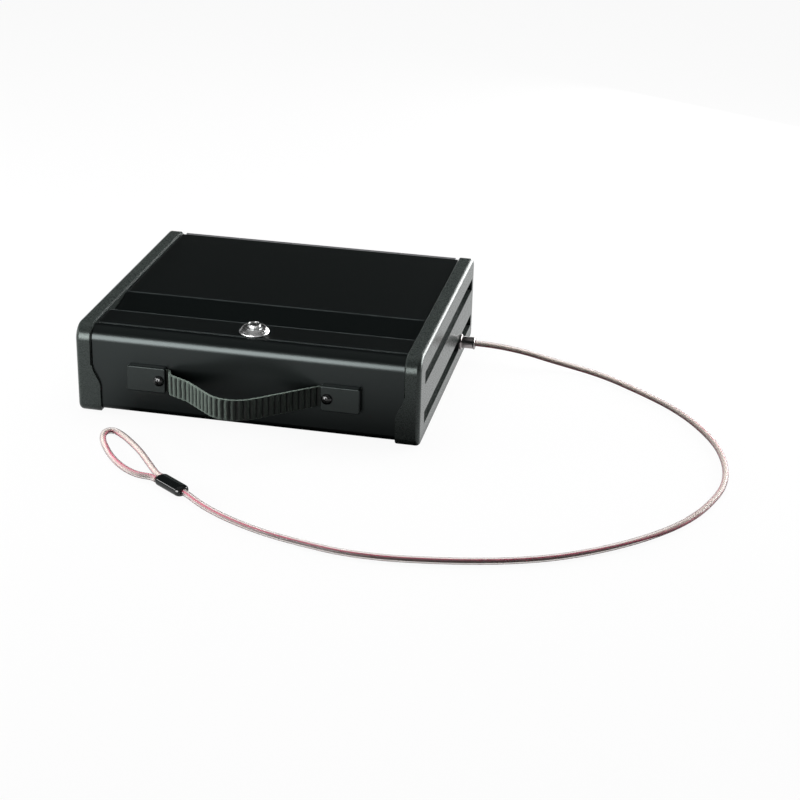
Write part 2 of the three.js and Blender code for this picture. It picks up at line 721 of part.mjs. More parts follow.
function lockPlug() {
  const top = COLLAR_TOP - GAP;
  const [, y] = lockSpot;
  const tail = TAIL_SIDE / 2;
  const pilot = [CAM_UNDER - CUT, CAM_UNDER + CAM_SCREW_LENGTH + GAP];
  let plug = rod('z', lockSpot, PLUG_RADIUS, BARREL_END, top)
    .add(box([-tail, tail], [y - tail, y + tail], [CAM_UNDER + GAP, BARREL_END + CUT]))
    .subtract(box(
      [-KEYWAY_WIDTH / 2, KEYWAY_WIDTH / 2],
      [y - KEYWAY_HEIGHT / 2, y + KEYWAY_HEIGHT / 2],
      [top - KEYWAY_DEPTH, top + CUT],
    ))
    .subtract(rod('z', lockSpot, CAM_SCREW_RADIUS + GAP, ...pilot, SEGMENTS.tiny));
  for (let k = 0; k < WAFERS; k++) {
    const slot = WAFER_WIDTH / 2 + GAP;
    const height = [waferTop(k) - WAFER - GAP, waferTop(k) + GAP];
    plug = plug.subtract(box([-slot, slot], [y - PLUG_RADIUS, y + PLUG_RADIUS], height));
  }
  return piece('lock_plug', plug, 'chrome');
}

// A brass leaf with a window for the key, sliding across the plug. Without a key the leaves stand
// out of line, in turn towards the back and the front.
function lockWafer(k) {
  const [x, middle] = lockSpot;
  const y = middle + (k % 2 ? -WAFER_TRAVEL : WAFER_TRAVEL);
  const reach = Math.sqrt(PLUG_RADIUS ** 2 - (WAFER_WIDTH / 2) ** 2) - GAP;
  const height = [waferTop(k) - WAFER, waferTop(k)];
  const window = box(
    [x - KEYWAY_WIDTH / 2, x + KEYWAY_WIDTH / 2],
    [y - KEYWAY_HEIGHT / 2 + GAP, y + KEYWAY_HEIGHT / 2 - GAP],
    [height[0] - CUT, height[1] + CUT],
  );
  const leaf = box([x - WAFER_WIDTH / 2, x + WAFER_WIDTH / 2], [y - reach, y + reach], height);
  return piece(`lock_wafer_${k + 1}`, leaf.subtract(window), 'brass');
}

function lockWasher() {
  const top = LID_UNDER - GAP;
  const bore = BARREL_RADIUS + GAP;
  const radii = [bore, bore + LOCK_WASHER_BAND];
  return piece('lock_washer', ring('z', lockSpot, radii, top - LOCK_WASHER, top), 'steel');
}

function lockNut() {
  const top = LID_UNDER - LOCK_WASHER - 2 * GAP;
  const flats = 2 * (BARREL_RADIUS + LOCK_NUT_WALL);
  const nut = prism('z', moved(hexagon(flats), ...lockSpot), top - LOCK_NUT, top)
    .subtract(rod('z', lockSpot, BARREL_RADIUS + GAP, 0, CASE_HEIGHT, SEGMENTS.fine));
  return piece('lock_nut', nut, 'steel');
}

function lockCam() {
  const side = CAM_WIDTH / 2;
  const hole = TAIL_SIDE / 2 + GAP;
  const [, y] = lockSpot;
  const outline = moved(rectangle(-side, CAM_REACH, -side, side, CAM_CORNER), ...lockSpot);
  const cam = prism('z', outline, CAM_UNDER, CAM_TOP)
    .subtract(box([-hole, hole], [y - hole, y + hole], [CAM_UNDER - CUT, CAM_TOP + CUT]));
  return piece('lock_cam', cam, 'steel');
}

function camScrew() {
  const under = CAM_UNDER - GAP;
  const crown = under - CAM_SCREW_HEAD_HEIGHT;
  const head = TAIL_SIDE / 2 + CAM_SCREW_LAP;
  const profile = [
    [0, crown],
    [CAM_SCREW_CROWN, crown],
    [head, (under + crown) / 2],
    [head, under],
    [CAM_SCREW_RADIUS, under],
    [CAM_SCREW_RADIUS, CAM_UNDER + CAM_SCREW_LENGTH],
    [0, CAM_UNDER + CAM_SCREW_LENGTH],
  ];
  return piece('cam_screw', turned('z', lockSpot, profile, SEGMENTS.small), 'steel');
}

// Webbing handle

// The middle line of the webbing, seen from above: flat behind the covers, with two limbs that leave
// the case and run on to the round apex. The left one stands out further beside its cover.
function strapPath() {
  const middle = STRAP_BACK - STRAP / 2;
  const foot = COVER_SPAN - STRAP_CLEAR;
  const end = SCREW_SPAN + STRAP_TAIL;
  const reach = middle + HANDLE_REACH - STRAP / 2;
  const rise = reach - STRAP_APEX_RADIUS;
  const slope = Math.atan2(rise, foot) + Math.asin(STRAP_APEX_RADIUS / Math.hypot(rise, foot));
  const limb = (span) => middle - (foot - span) * Math.tan(slope);
  return [
    [HANDLE_OFFSET - end, middle],
    [HANDLE_OFFSET - COVER_SPAN + KNEE_CLEAR, middle, STRAP_FOOT_RADIUS],
    [HANDLE_OFFSET - KNEE_SPAN, middle - KNEE_REACH, KNEE_RADIUS],
    [HANDLE_OFFSET - HIP_SPAN, limb(HIP_SPAN), HIP_RADIUS],
    [HANDLE_OFFSET, limb(0), STRAP_APEX_RADIUS],
    [HANDLE_OFFSET + foot, middle, STRAP_FOOT_RADIUS],
    [HANDLE_OFFSET + end, middle],
  ];
}

function handleStrap() {
  const outline = sheetOutline(beside(strapPath(), -STRAP / 2), STRAP);
  const half = STRAP_WIDTH / 2;
  let strap = prism('z', outline, HANDLE_LEVEL - half, HANDLE_LEVEL + half);
  const depth = [STRAP_BACK - STRAP - CUT, STRAP_BACK + CUT];
  for (const [, side] of sides) {
    strap = strap.subtract(rod('y', screwSpot(side), STRAP_SCREW_RADIUS + GAP, ...depth));
  }
  return piece('handle_strap', strap, 'webbing');
}

function strapCover(name, side) {
  const inner = HANDLE_OFFSET + side * COVER_SPAN;
  const outer = inner + side * COVER_LENGTH;
  const [low, high] = [Math.min(inner, outer), Math.max(inner, outer)];
  const half = COVER_HEIGHT / 2;
  const outline = (inset) => rectangle(
    low + inset,
    high - inset,
    HANDLE_LEVEL - half + inset,
    HANDLE_LEVEL + half - inset,
    COVER_CORNER - inset,
  );
  const pocket = box(
    [inner - side * CUT, HANDLE_OFFSET + side * (SCREW_SPAN + STRAP_TAIL + GAP)],
    [STRAP_BACK - STRAP - GAP, BODY_SETBACK],
    [HANDLE_LEVEL - STRAP_WIDTH / 2 - GAP, HANDLE_LEVEL + STRAP_WIDTH / 2 + GAP],
  );
  const cover = softened('y', outline, STRAP_BACK, COVER_FRONT, COVER_EDGE)
    .subtract(pocket)
    .subtract(rod('y', screwSpot(side), STRAP_SCREW_RADIUS + GAP, COVER_FRONT - CUT, BODY_SETBACK));
  return piece(name, cover, 'cover');
}

function strapScrew(name, side) {
  const under = COVER_FRONT - GAP;
  const crown = under - STRAP_SCREW_DOME;
  const tip = FRONT_INNER + STRAP_NUT + 3 * GAP;
  const profile = [[0, crown]];
  for (let k = 1; k <= DOME_STEPS; k++) {
    const angle = k / DOME_STEPS * Math.PI / 2;
    profile.push([STRAP_SCREW_HEAD * Math.sin(angle), under - STRAP_SCREW_DOME * Math.cos(angle)]);
  }
  profile.push([STRAP_SCREW_RADIUS, under], [STRAP_SCREW_RADIUS, tip], [0, tip]);
  const [x, z] = screwSpot(side);
  const [wide, long] = [CROSS_WIDTH / 2, CROSS_LENGTH / 2];
  const depth = [crown - CUT, crown + CROSS_DEPTH];
  const screw = turned('y', [x, z], profile)
    .subtract(box([x - wide, x + wide], depth, [z - long, z + long]))
    .subtract(box([x - long, x + long], depth, [z - wide, z + wide]));
  return piece(name, screw, 'black');
}

function strapNut(name, side) {
  const front = FRONT_INNER + GAP;
  const flats = 2 * (STRAP_SCREW_RADIUS + STRAP_NUT_WALL);
  const nut = prism('y', moved(hexagon(flats), ...screwSpot(side)), front, front + STRAP_NUT)
    .subtract(rod('y', screwSpot(side), STRAP_SCREW_RADIUS + GAP, 0, front + STRAP_NUT + CUT));
  return piece(name, nut, 'steel');
}

// Cable fitting, cable, ferrule and eye

function cableFitting() {
  const flange = HALF + GAP;
  const barrel = flange + FITTING_FLANGE_THICK;
  const lip = barrel + FITTING_BARREL_LENGTH;
  const end = lip + FITTING_LIP_LENGTH;
  const root = PLATE_INNER - FITTING_WASHER - FITTING_NUT - 3 * GAP;
  const profile = [
    [0, root],
    [FITTING_RADIUS, root],
    [FITTING_RADIUS, flange],
    [FITTING_FLANGE, flange],
    [FITTING_FLANGE, barrel - FITTING_CHAMFER],
    [FITTING_FLANGE - FITTING_CHAMFER, barrel],
    [FITTING_BARREL, barrel],
    [FITTING_BARREL, lip],
    [FITTING_LIP, lip + FITTING_CHAMFER],
    [FITTING_LIP, end - FITTING_CHAMFER],
    [FITTING_LIP - FITTING_CHAMFER, end],
    [0, end],
  ];
  return piece('cable_fitting', turned('x', fittingSpot, profile), 'chrome');
}

function fittingWasher() {
  const outer = PLATE_INNER - GAP;
  const bore = FITTING_RADIUS + GAP;
  const radii = [bore, bore + FITTING_WASHER_BAND];
  return piece('fitting_washer', ring('x', fittingSpot, radii, outer - FITTING_WASHER, outer), 'steel');
}

function fittingNut() {
  const outer = PLATE_INNER - FITTING_WASHER - 2 * GAP;
  const flats = 2 * (FITTING_RADIUS + FITTING_NUT_WALL);
  const nut = prism('x', moved(hexagon(flats), ...fittingSpot), outer - FITTING_NUT, outer)
    .subtract(rod('x', fittingSpot, FITTING_RADIUS + GAP, 0, HALF));
  return piece('fitting_nut', nut, 'steel');
}

function cableFerrule() {
  const half = FERRULE_LENGTH / 2;
  const end = [[0, half]];
  for (let k = FERRULE_STEPS; k >= 0; k--) {
    const angle = k / FERRULE_STEPS * Math.PI / 2;
    end.push([1 - FERRULE_TAPER * (1 - Math.cos(angle)), half - FERRULE_END * (1 - Math.sin(angle))]);
  }
  const start = end.map(([radius, along]) => [radius, -along]).reverse();
  const profile = [...end, ...start].map(([radius, along]) => new THREE.Vector2(radius, along));
  const geometry = new THREE.LatheGeometry(profile, SEGMENTS.medium);
  geometry.rotateZ(-Math.PI / 2);
  geometry.scale(1, FERRULE_WIDTH / 2, FERRULE_HEIGHT / 2);
  const ferrule = piece('cable_ferrule', solid(geometry), 'black');
  ferrule.position.set(...FERRULE_PLACE);
  ferrule.rotation.z = THREE.MathUtils.degToRad(FERRULE_TURN);
  return ferrule;
}

// The whole safe. The case is drawn from the caps' front plane, so its group moves it back.

const safe = new THREE.Group();
safe.position.y = ORIGIN_Y;
safe.add(baseShell(), foamMat(), lidPanel(), hingeLeafBody(), hingeLeafLid(), hingePin());
for (const [label, side] of sides) {
  safe.add(endPlate(`end_plate_${label}`, side), endCap(`end_cap_${label}`, side));
  for (const [spot, y, z] of capScrewSpots) {
    safe.add(capScrew(`cap_screw_${label}_${spot}`, side, y, z));
  }
  safe.add(
    strapCover(`strap_cover_${label}`, side),
    strapScrew(`strap_screw_${label}`, side),
    strapNut(`strap_nut_${label}`, side),
  );
}
safe.add(lockHousing(), lockWasher(), lockNut(), lockPlug(), lockCam(), camScrew());
for (let k = 0; k < WAFERS; k++) safe.add(lockWafer(k));
safe.add(handleStrap(), cableFitting(), fittingWasher(), fittingNut());

const group = new THREE.Group();
group.add(
  safe,
  piece('security_cable', cord(CABLE_ROUTE, CABLE_STEPS), 'cable'),
  cableFerrule(),
  piece('cable_eye', cord(EYE_ROUTE, EYE_STEPS), 'cable'),
);

export default group;
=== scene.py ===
# The looks of a portable car safe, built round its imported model. Metres, +Z up, front towards -Y.

import json
import math

import bmesh
import bpy
from mathutils import Matrix, Vector, noise
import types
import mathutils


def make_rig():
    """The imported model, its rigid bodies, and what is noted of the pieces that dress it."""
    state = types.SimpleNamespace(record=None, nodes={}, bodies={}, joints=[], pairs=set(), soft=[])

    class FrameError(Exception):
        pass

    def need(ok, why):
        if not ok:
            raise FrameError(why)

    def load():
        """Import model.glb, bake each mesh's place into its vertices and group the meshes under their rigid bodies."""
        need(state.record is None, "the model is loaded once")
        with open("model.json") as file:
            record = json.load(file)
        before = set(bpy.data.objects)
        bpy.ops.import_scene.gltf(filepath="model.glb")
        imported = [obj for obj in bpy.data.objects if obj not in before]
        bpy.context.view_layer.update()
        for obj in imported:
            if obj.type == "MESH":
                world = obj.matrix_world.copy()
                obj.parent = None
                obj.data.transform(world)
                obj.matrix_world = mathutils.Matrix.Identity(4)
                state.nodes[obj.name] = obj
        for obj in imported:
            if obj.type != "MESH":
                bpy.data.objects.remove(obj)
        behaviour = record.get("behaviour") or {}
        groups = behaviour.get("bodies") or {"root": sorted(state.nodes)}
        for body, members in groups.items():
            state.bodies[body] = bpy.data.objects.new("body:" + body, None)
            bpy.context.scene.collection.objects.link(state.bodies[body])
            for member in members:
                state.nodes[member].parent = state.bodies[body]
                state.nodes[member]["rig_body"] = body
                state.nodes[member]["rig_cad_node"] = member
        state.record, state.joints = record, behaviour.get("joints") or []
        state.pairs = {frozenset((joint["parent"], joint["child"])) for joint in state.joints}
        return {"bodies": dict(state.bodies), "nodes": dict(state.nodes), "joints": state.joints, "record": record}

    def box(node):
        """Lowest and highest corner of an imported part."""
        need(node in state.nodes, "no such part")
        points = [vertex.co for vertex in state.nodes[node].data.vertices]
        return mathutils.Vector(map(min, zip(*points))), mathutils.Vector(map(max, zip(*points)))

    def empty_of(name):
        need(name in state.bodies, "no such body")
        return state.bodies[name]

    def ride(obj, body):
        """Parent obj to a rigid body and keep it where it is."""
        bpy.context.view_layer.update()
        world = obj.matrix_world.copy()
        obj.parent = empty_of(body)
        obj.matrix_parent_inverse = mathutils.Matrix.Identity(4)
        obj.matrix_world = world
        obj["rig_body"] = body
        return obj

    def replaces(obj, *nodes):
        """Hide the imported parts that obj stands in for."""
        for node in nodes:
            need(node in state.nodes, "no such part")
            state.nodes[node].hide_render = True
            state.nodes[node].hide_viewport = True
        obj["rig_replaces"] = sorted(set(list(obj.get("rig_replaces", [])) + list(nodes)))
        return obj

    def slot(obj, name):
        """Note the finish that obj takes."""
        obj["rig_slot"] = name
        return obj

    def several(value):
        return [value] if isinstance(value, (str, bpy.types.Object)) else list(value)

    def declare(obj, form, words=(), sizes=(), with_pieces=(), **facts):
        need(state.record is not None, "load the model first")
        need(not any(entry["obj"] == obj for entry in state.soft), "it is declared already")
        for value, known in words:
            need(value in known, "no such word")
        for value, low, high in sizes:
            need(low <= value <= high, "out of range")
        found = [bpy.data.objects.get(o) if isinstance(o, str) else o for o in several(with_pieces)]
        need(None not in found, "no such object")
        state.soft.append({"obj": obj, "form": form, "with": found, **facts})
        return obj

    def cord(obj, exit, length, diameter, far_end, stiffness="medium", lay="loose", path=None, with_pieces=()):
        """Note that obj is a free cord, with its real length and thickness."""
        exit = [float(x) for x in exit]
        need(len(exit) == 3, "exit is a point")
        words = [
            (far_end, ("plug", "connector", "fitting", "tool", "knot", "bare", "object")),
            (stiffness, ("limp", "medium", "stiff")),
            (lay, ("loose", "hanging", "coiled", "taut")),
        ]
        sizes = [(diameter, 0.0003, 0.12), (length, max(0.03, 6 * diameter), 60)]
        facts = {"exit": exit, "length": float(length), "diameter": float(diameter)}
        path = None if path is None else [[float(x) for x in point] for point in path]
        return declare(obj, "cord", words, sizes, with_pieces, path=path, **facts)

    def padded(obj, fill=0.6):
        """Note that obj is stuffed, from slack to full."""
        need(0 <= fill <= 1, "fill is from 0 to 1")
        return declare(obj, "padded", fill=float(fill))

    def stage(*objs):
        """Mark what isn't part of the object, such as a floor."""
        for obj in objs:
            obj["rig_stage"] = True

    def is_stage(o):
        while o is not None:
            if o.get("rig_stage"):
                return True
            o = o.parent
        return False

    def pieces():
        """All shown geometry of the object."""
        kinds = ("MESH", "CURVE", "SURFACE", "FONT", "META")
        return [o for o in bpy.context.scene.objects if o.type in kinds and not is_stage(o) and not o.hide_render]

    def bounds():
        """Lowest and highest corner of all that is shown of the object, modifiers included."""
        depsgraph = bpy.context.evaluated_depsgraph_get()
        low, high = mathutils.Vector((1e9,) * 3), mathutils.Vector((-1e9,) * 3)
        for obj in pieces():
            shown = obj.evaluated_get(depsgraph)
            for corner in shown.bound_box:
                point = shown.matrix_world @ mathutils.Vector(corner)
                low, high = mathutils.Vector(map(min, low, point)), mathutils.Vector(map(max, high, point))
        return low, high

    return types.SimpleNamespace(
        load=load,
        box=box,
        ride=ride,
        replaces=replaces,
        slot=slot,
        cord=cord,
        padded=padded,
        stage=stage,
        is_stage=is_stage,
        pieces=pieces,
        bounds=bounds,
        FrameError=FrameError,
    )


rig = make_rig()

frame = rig.load()
cad_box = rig.bounds()

MM = 0.001
UP = Vector((0, 0, 1))

# Places read from the frame
CAPS_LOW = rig.box("end_cap_left")[0]
CAPS_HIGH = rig.box("end_cap_right")[1]
HALF = CAPS_HIGH.x
FRONT = CAPS_LOW.y
BACK = CAPS_HIGH.y
TOP = CAPS_HIGH.z
LID_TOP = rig.box("lid")[1].z
LID_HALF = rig.box("lid")[1].x
BODY_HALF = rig.box("base_shell")[1].x
LOCK_Y = sum(corner.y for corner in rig.box("lock_plug")) / 2

# Folded steel
SHEET = 1.6 * MM
BODY_SETBACK = 2 * MM
BODY_RAISE = 2.2 * MM
BODY_RADIUS = 10 * MM
BODY_BEND = 5 * MM
FLANGE_FLAT = 1.2 * MM
FLANGE_LIP = 7.6 * MM
SEAM = 0.5 * MM
LID_LIP = 6.7 * MM
STRIP_DEPTH = 26.1 * MM
RECESS_LENGTH = 37.4 * MM
RECESS_DEPTH = 6.3 * MM
RECESS_SLANT = 1 * MM
LID_BEND = 1 * MM
LOCK_HOLE = 7.5 * MM
LEAF_WIDTH = 13 * MM  # of the hinge, whose body leaf reaches up to the top of the back wall
BODY_FRONT = FRONT + BODY_SETBACK
BODY_BACK = BACK - BODY_SETBACK
FLANGE_END = BODY_FRONT + BODY_RADIUS + FLANGE_FLAT
LID_FRONT = FLANGE_END + SEAM
STEP_Y = LID_FRONT + STRIP_DEPTH
LID_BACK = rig.box("lid")[1].y

# End caps
CAP_THICK = 11.7 * MM
CAP_FRONT_RADIUS = 12 * MM
CAP_BACK_RADIUS = 6.5 * MM
CAP_FLOOR_RADIUS = 6.5 * MM
CAP_EDGE = 3.3 * MM
FOOT_REACH = 5.7 * MM
FOOT_HEIGHT = 20.5 * MM
FOOT_BLEND = 16.5 * MM
FOOT_CORNER = 3 * MM
CHANNEL_HEIGHT = 9.4 * MM
CHANNEL_DEPTH = 6 * MM
CHANNEL_FRONT = 16.5 * MM
CHANNEL_BACK = 8 * MM
CHANNEL_RAISE = 16.8 * MM
CHANNEL_DROP = 20.2 * MM
FITTING_BOSS = 14 * MM
CAP_SOFTENING = 0.5 * MM
CAP_CHAMFER = 1.0 * MM
GAP = 0.3 * MM  # between neighbouring pieces

# Handle
STRAP = 2.2 * MM
STRAP_WIDTH = 15.5 * MM
STRAP_APEX_RADIUS = 25 * MM
STRAP_FOOT_RADIUS = 2.5 * MM
STRAP_CLEAR = 1.8 * MM
STRAP_STEP = 0.35 * MM
KNEE_CLEAR = 2.4 * MM
KNEE_SPAN = 51.3 * MM
KNEE_REACH = 7.8 * MM
KNEE_RADIUS = 4 * MM
HIP_SPAN = 35.3 * MM
HIP_RADIUS = 12 * MM
RIB_PITCH = 4.6 * MM
RIB_HEIGHT = 0.9 * MM
RIB_EDGE = 0.7  # thickness at the edges of the webbing, as a share of its middle
RIB_WAVER = 0.35 * MM
WAVER_ALONG = 6 * MM
WAVER_ACROSS = 5 * MM
YARN_PITCH = 0.9 * MM
WEFT_PITCH = 0.7 * MM
UPPER_SCALLOP = 0.2 * MM  # how far the edges draw in between two ribs
LOWER_SCALLOP = 0.5 * MM
COVER_EDGE = 0.9 * MM
COVER_CORNER = 1.6 * MM
COVER_WALL = 4 * MM
COVER_SOFTENING = 0.2 * MM
SCREW_DOME = 2.5 * MM
SCREW_SHANK = 2 * MM
CROSS_HALF_WIDTH = 0.5 * MM  # of the cross recess in the screws' heads
CROSS_HALF_LENGTH = 2.2 * MM
CROSS_DEPTH = 1.3 * MM

# Cam lock
HOUSING_BORE = 3.8 * MM
HOUSING_BARREL = 7.2 * MM
COLLAR_RADIUS = 4.9 * MM
COLLAR_HEIGHT = 2.2 * MM
PLUG_RADIUS = 3.5 * MM
PLUG_EDGE = 0.25 * MM
PLUG_SOFTENING = 0.12 * MM
TAIL_HALF = 2.4 * MM
KEYWAY_WIDTH = 1.5 * MM
KEYWAY_LENGTH = 4.6 * MM
KEYWAY_DEPTH = 12 * MM

# Foam mat
MAT_MARGIN = 1.6 * MM
MAT_FALL = 1.1 * MM
MAT_WAVE = 0.12 * MM
MAT_WAVES_PER_METRE = 60
MAT_SINK = 0.15 * MM  # keeps the waves under the top of the solid

# Arcs are cut into steps no longer than this
ARC_STEP = math.radians(6)

# Tethering cable, its ferrule and its fitting
ROUTE_STEP = 2 * MM
ROPE_STRANDS = 6
ROPE_STRAND_RADIUS = 0.40 * MM
ROPE_RADIUS = 0.80 * MM
ROPE_PITCH = 13 * MM
TRACER_RADIUS = 0.90 * MM
TRACER_OFFSET = 1.35 * MM
FERRULE_LENGTH = 26 * MM
FERRULE_WIDTH = 10.8 * MM
FERRULE_HEIGHT = 7.4 * MM
FERRULE_END = 3.2 * MM
FERRULE_TIP = 0.60  # size of its end faces, as a share of its middle
FERRULE_SQUARENESS = 0.86  # 1 is an ellipse, less is nearer to a rectangle
FERRULE_TURN = math.radians(-35.2)
FITTING_SHANK = 4 * MM
FITTING_FLANGE = 6 * MM
FITTING_NECK = 4.5 * MM
FITTING_RIM = 4.9 * MM
FITTING_BORE = 2.7 * MM
CABLE_RADIUS = 2.2 * MM
CABLE_ROUTE = [
    (0.1373, 0.0720, 0.0168),
    (0.1500, 0.0716, 0.0166),
    (0.1630, 0.0714, 0.0156),
    (0.1780, 0.0725, 0.0129),
    (0.1949, 0.0742, 0.0085),
    (0.2110, 0.0742, 0.0052),
    (0.2269, 0.0716, 0.0030),
    (0.2429, 0.0633, 0.0024),
    (0.2588, 0.0512, 0.0024),
    (0.2747, 0.0381, 0.0024),
    (0.2907, 0.0230, 0.0024),
    (0.3047, 0.0061, 0.0024),
    (0.3167, -0.0129, 0.0024),
    (0.3267, -0.0339, 0.0024),
    (0.3328, -0.0549, 0.0024),
    (0.3358, -0.0780, 0.0024),
    (0.3348, -0.0992, 0.0024),
    (0.3298, -0.1196, 0.0024),
    (0.3219, -0.1400, 0.0024),
    (0.3109, -0.1595, 0.0024),
    (0.2968, -0.1772, 0.0024),
    (0.2798, -0.1939, 0.0024),
    (0.2617, -0.2083, 0.0024),
    (0.2397, -0.2222, 0.0024),
    (0.2156, -0.2328, 0.0024),
    (0.1896, -0.2405, 0.0024),
    (0.1615, -0.2462, 0.0024),
    (0.1335, -0.2496, 0.0024),
    (0.1074, -0.2491, 0.0024),
    (0.0835, -0.2446, 0.0024),
    (0.0595, -0.2382, 0.0024),
    (0.0376, -0.2294, 0.0024),
    (0.0177, -0.2186, 0.0024),
    (0.0042, -0.2095, 0.0027),
    (-0.0061, -0.2014, 0.0034),
    (-0.0102, -0.1985, 0.0036),
]
EYE_ROUTE = [
    (-0.0305, -0.1812, 0.0037),
    (-0.0346, -0.1783, 0.0036),
    (-0.0398, -0.1713, 0.0029),
    (-0.0467, -0.1614, 0.0024),
    (-0.0590, -0.1448, 0.0024),
    (-0.0706, -0.1318, 0.0024),
    (-0.0790, -0.1236, 0.0024),
    (-0.0858, -0.1188, 0.0024),
    (-0.0901, -0.1185, 0.0024),
    (-0.0924, -0.1221, 0.0024),
    (-0.0918, -0.1279, 0.0024),
    (-0.0891, -0.1351, 0.0024),
    (-0.0846, -0.1432, 0.0024),
    (-0.0773, -0.1542, 0.0024),
    (-0.0681, -0.1652, 0.0024),
    (-0.0584, -0.1737, 0.0024),
    (-0.0483, -0.1793, 0.0026),
    (-0.0375, -0.1824, 0.0034),
    (-0.0334, -0.1853, 0.0037),
]


# Camera, at the photograph's place

CAMERA_AZIMUTH = math.radians(11.187)
CAMERA_ELEVATION = math.radians(24.253)
CAMERA_ROLL = math.radians(1.506)
CAMERA_PLACE = Vector((0.33608, -1.22781, 0.55917))
CAMERA_LENS = 83.123
CAMERA_SENSOR = 36


def direction(azimuth, elevation):
    """The unit vector that points from the object to that side. Azimuth 0 is -Y and 90 degrees +X."""
    return Vector((
        math.sin(azimuth) * math.cos(elevation),
        -math.cos(azimuth) * math.cos(elevation),
        math.sin(elevation),
    ))


def make_camera():
    backward = direction(CAMERA_AZIMUTH, CAMERA_ELEVATION)
    level = Vector((math.cos(CAMERA_AZIMUTH), math.sin(CAMERA_AZIMUTH), 0))
    upright = backward.cross(level)
    right = level * math.cos(CAMERA_ROLL) + upright * math.sin(CAMERA_ROLL)
    top = upright * math.cos(CAMERA_ROLL) - level * math.sin(CAMERA_ROLL)
    data = bpy.data.cameras.new("camera")
    data.lens = CAMERA_LENS
    data.sensor_width = CAMERA_SENSOR
    camera = bpy.data.objects.new("camera", data)
    turn = Matrix((right, top, backward)).transposed().to_4x4()
    camera.matrix_world = Matrix.Translation(CAMERA_PLACE) @ turn
    bpy.context.scene.collection.objects.link(camera)
    bpy.context.scene.camera = camera


make_camera()


# Materials


class Nodes:
    """A material's node tree, with short calls that add a node and join its sockets."""

    def __init__(self, name):
        self.material = bpy.data.materials.new(name)
        self.material.use_nodes = True
        self.tree = self.material.node_tree
        self.tree.nodes.clear()
        self.output = self.add("ShaderNodeOutputMaterial")

    def add(self, kind, inputs=None, **settings):
        node = self.tree.nodes.new(kind)
        for key, value in settings.items():
            setattr(node, key, value)
        for key, value in (inputs or {}).items():
            self.put(node.inputs[key], value)
        return node

    def put(self, socket, value):
        if isinstance(value, bpy.types.NodeSocket):
            self.tree.links.new(value, socket)
        else:
            socket.default_value = value

    def place(self):
        """Coordinates in the row frame, in metres."""
        return self.add("ShaderNodeTexCoord").outputs["Object"]

    def axes(self):
        """The same coordinates one by one, under their letters."""
        return self.add("ShaderNodeSeparateXYZ", {"Vector": self.place()}).outputs

    def noise(self, scale, detail=2, roughness=0.5, vector=None):
        return self.add("ShaderNodeTexNoise", {
            "Vector": vector or self.place(),
            "Scale": scale,
            "Detail": detail,
            "Roughness": roughness,
        }).outputs["Fac"]

    def range(self, value, low, high, to_low=0.0, to_high=1.0):
        return self.add("ShaderNodeMapRange", {
            "Value": value,
            "From Min": low,
            "From Max": high,
            "To Min": to_low,
            "To Max": to_high,
        }).outputs["Result"]

    def math(self, operation, *values):
        node = self.add("ShaderNodeMath", operation=operation)
        for socket, value in zip(node.inputs, values):
            self.put(socket, value)
        return node.outputs[0]

    def wave(self, operation, value, pitch):
        """A sine or cosine that repeats every pitch."""
        return self.math(operation, self.math("MULTIPLY", value, 2 * math.pi / pitch))

    def blend(self, factor, low, high):
        """One shader where the factor is 0 and the other where it is 1."""
        inputs = {0: factor, 1: low.outputs[0], 2: high.outputs[0]}
        return self.add("ShaderNodeMixShader", inputs)

    def mix(self, factor, low, high):
        node = self.add("ShaderNodeMix", data_type="RGBA")
        self.put(node.inputs[0], factor)
        self.put(node.inputs[6], low)
        self.put(node.inputs[7], high)
        return node.outputs[2]

    def bump(self, height, strength, distance):
        inputs = {"Height": height, "Strength": strength, "Distance": distance}
        return self.add("ShaderNodeBump", inputs).outputs["Normal"]

    def surface(self, **inputs):
        """The Principled shader, with inputs named like its sockets in lower case."""
        sockets = {}
        for key, value in inputs.items():
            sockets[key.replace("_", " ").title().replace("Ior", "IOR")] = value
        return self.finish(self.add("ShaderNodeBsdfPrincipled", sockets))

    def finish(self, shader):
        self.put(self.output.inputs["Surface"], shader.outputs[0])
        return self.material


def grey(red, green=None, blue=None):
    green = red if green is None else green
    return (red, green, red if blue is None else blue, 1)


FOLD_HIGHLIGHTS = (  # each fold's place and how bright its painted highlight is
    (STEP_Y + RECESS_LENGTH, 0.5),
    (STEP_Y - 0.6 * MM, 1.0),
    (LID_FRONT, 0.6),
)
FOLD_HIGHLIGHT_CORE = 0.3 * MM
FOLD_HIGHLIGHT_REACH = 1.3 * MM


def painted_fold_highlights(n):
    """Painted highlights: 1 along the folds of the lid, where a highlight is painted into the coat's colour, and 0
    away from them.
    """
    at = n.axes()
    fold_highlight = 0.0
    for place, most in FOLD_HIGHLIGHTS:
        away = n.math("ABSOLUTE", n.math("SUBTRACT", at["Y"], place))
        fold_highlight = n.math("MAXIMUM", fold_highlight, n.range(away, FOLD_HIGHLIGHT_CORE, FOLD_HIGHLIGHT_REACH, most, 0.0))
    unevenness = n.range(n.noise(120, 3), 0.3, 0.6, 0.5, 1.0)
    on_top = n.range(at["Z"], LID_TOP - LID_BEND, LID_TOP - 0.4 * LID_BEND)
    return n.math("MULTIPLY", n.math("MULTIPLY", fold_highlight, unevenness), on_top)


def powder_coat():
    n = Nodes("powder_coat")
    cloud = n.noise(35, 3)
    peel = n.noise(900, 1)
    coat = n.mix(cloud, grey(0.0008, 0.0016, 0.0016), grey(0.0010, 0.0018, 0.0018))
    return n.surface(
        # Painted highlights: the lid's folds are painted lighter, a highlight along each bend
        base_color=n.mix(painted_fold_highlights(n), coat, grey(0.050, 0.060, 0.060)),
        roughness=0.28,
        specular_ior_level=0.38,
        specular_tint=(0.88, 1.0, 0.99, 1),
        normal=n.bump(peel, 0.02, 0.08 * MM),
    )


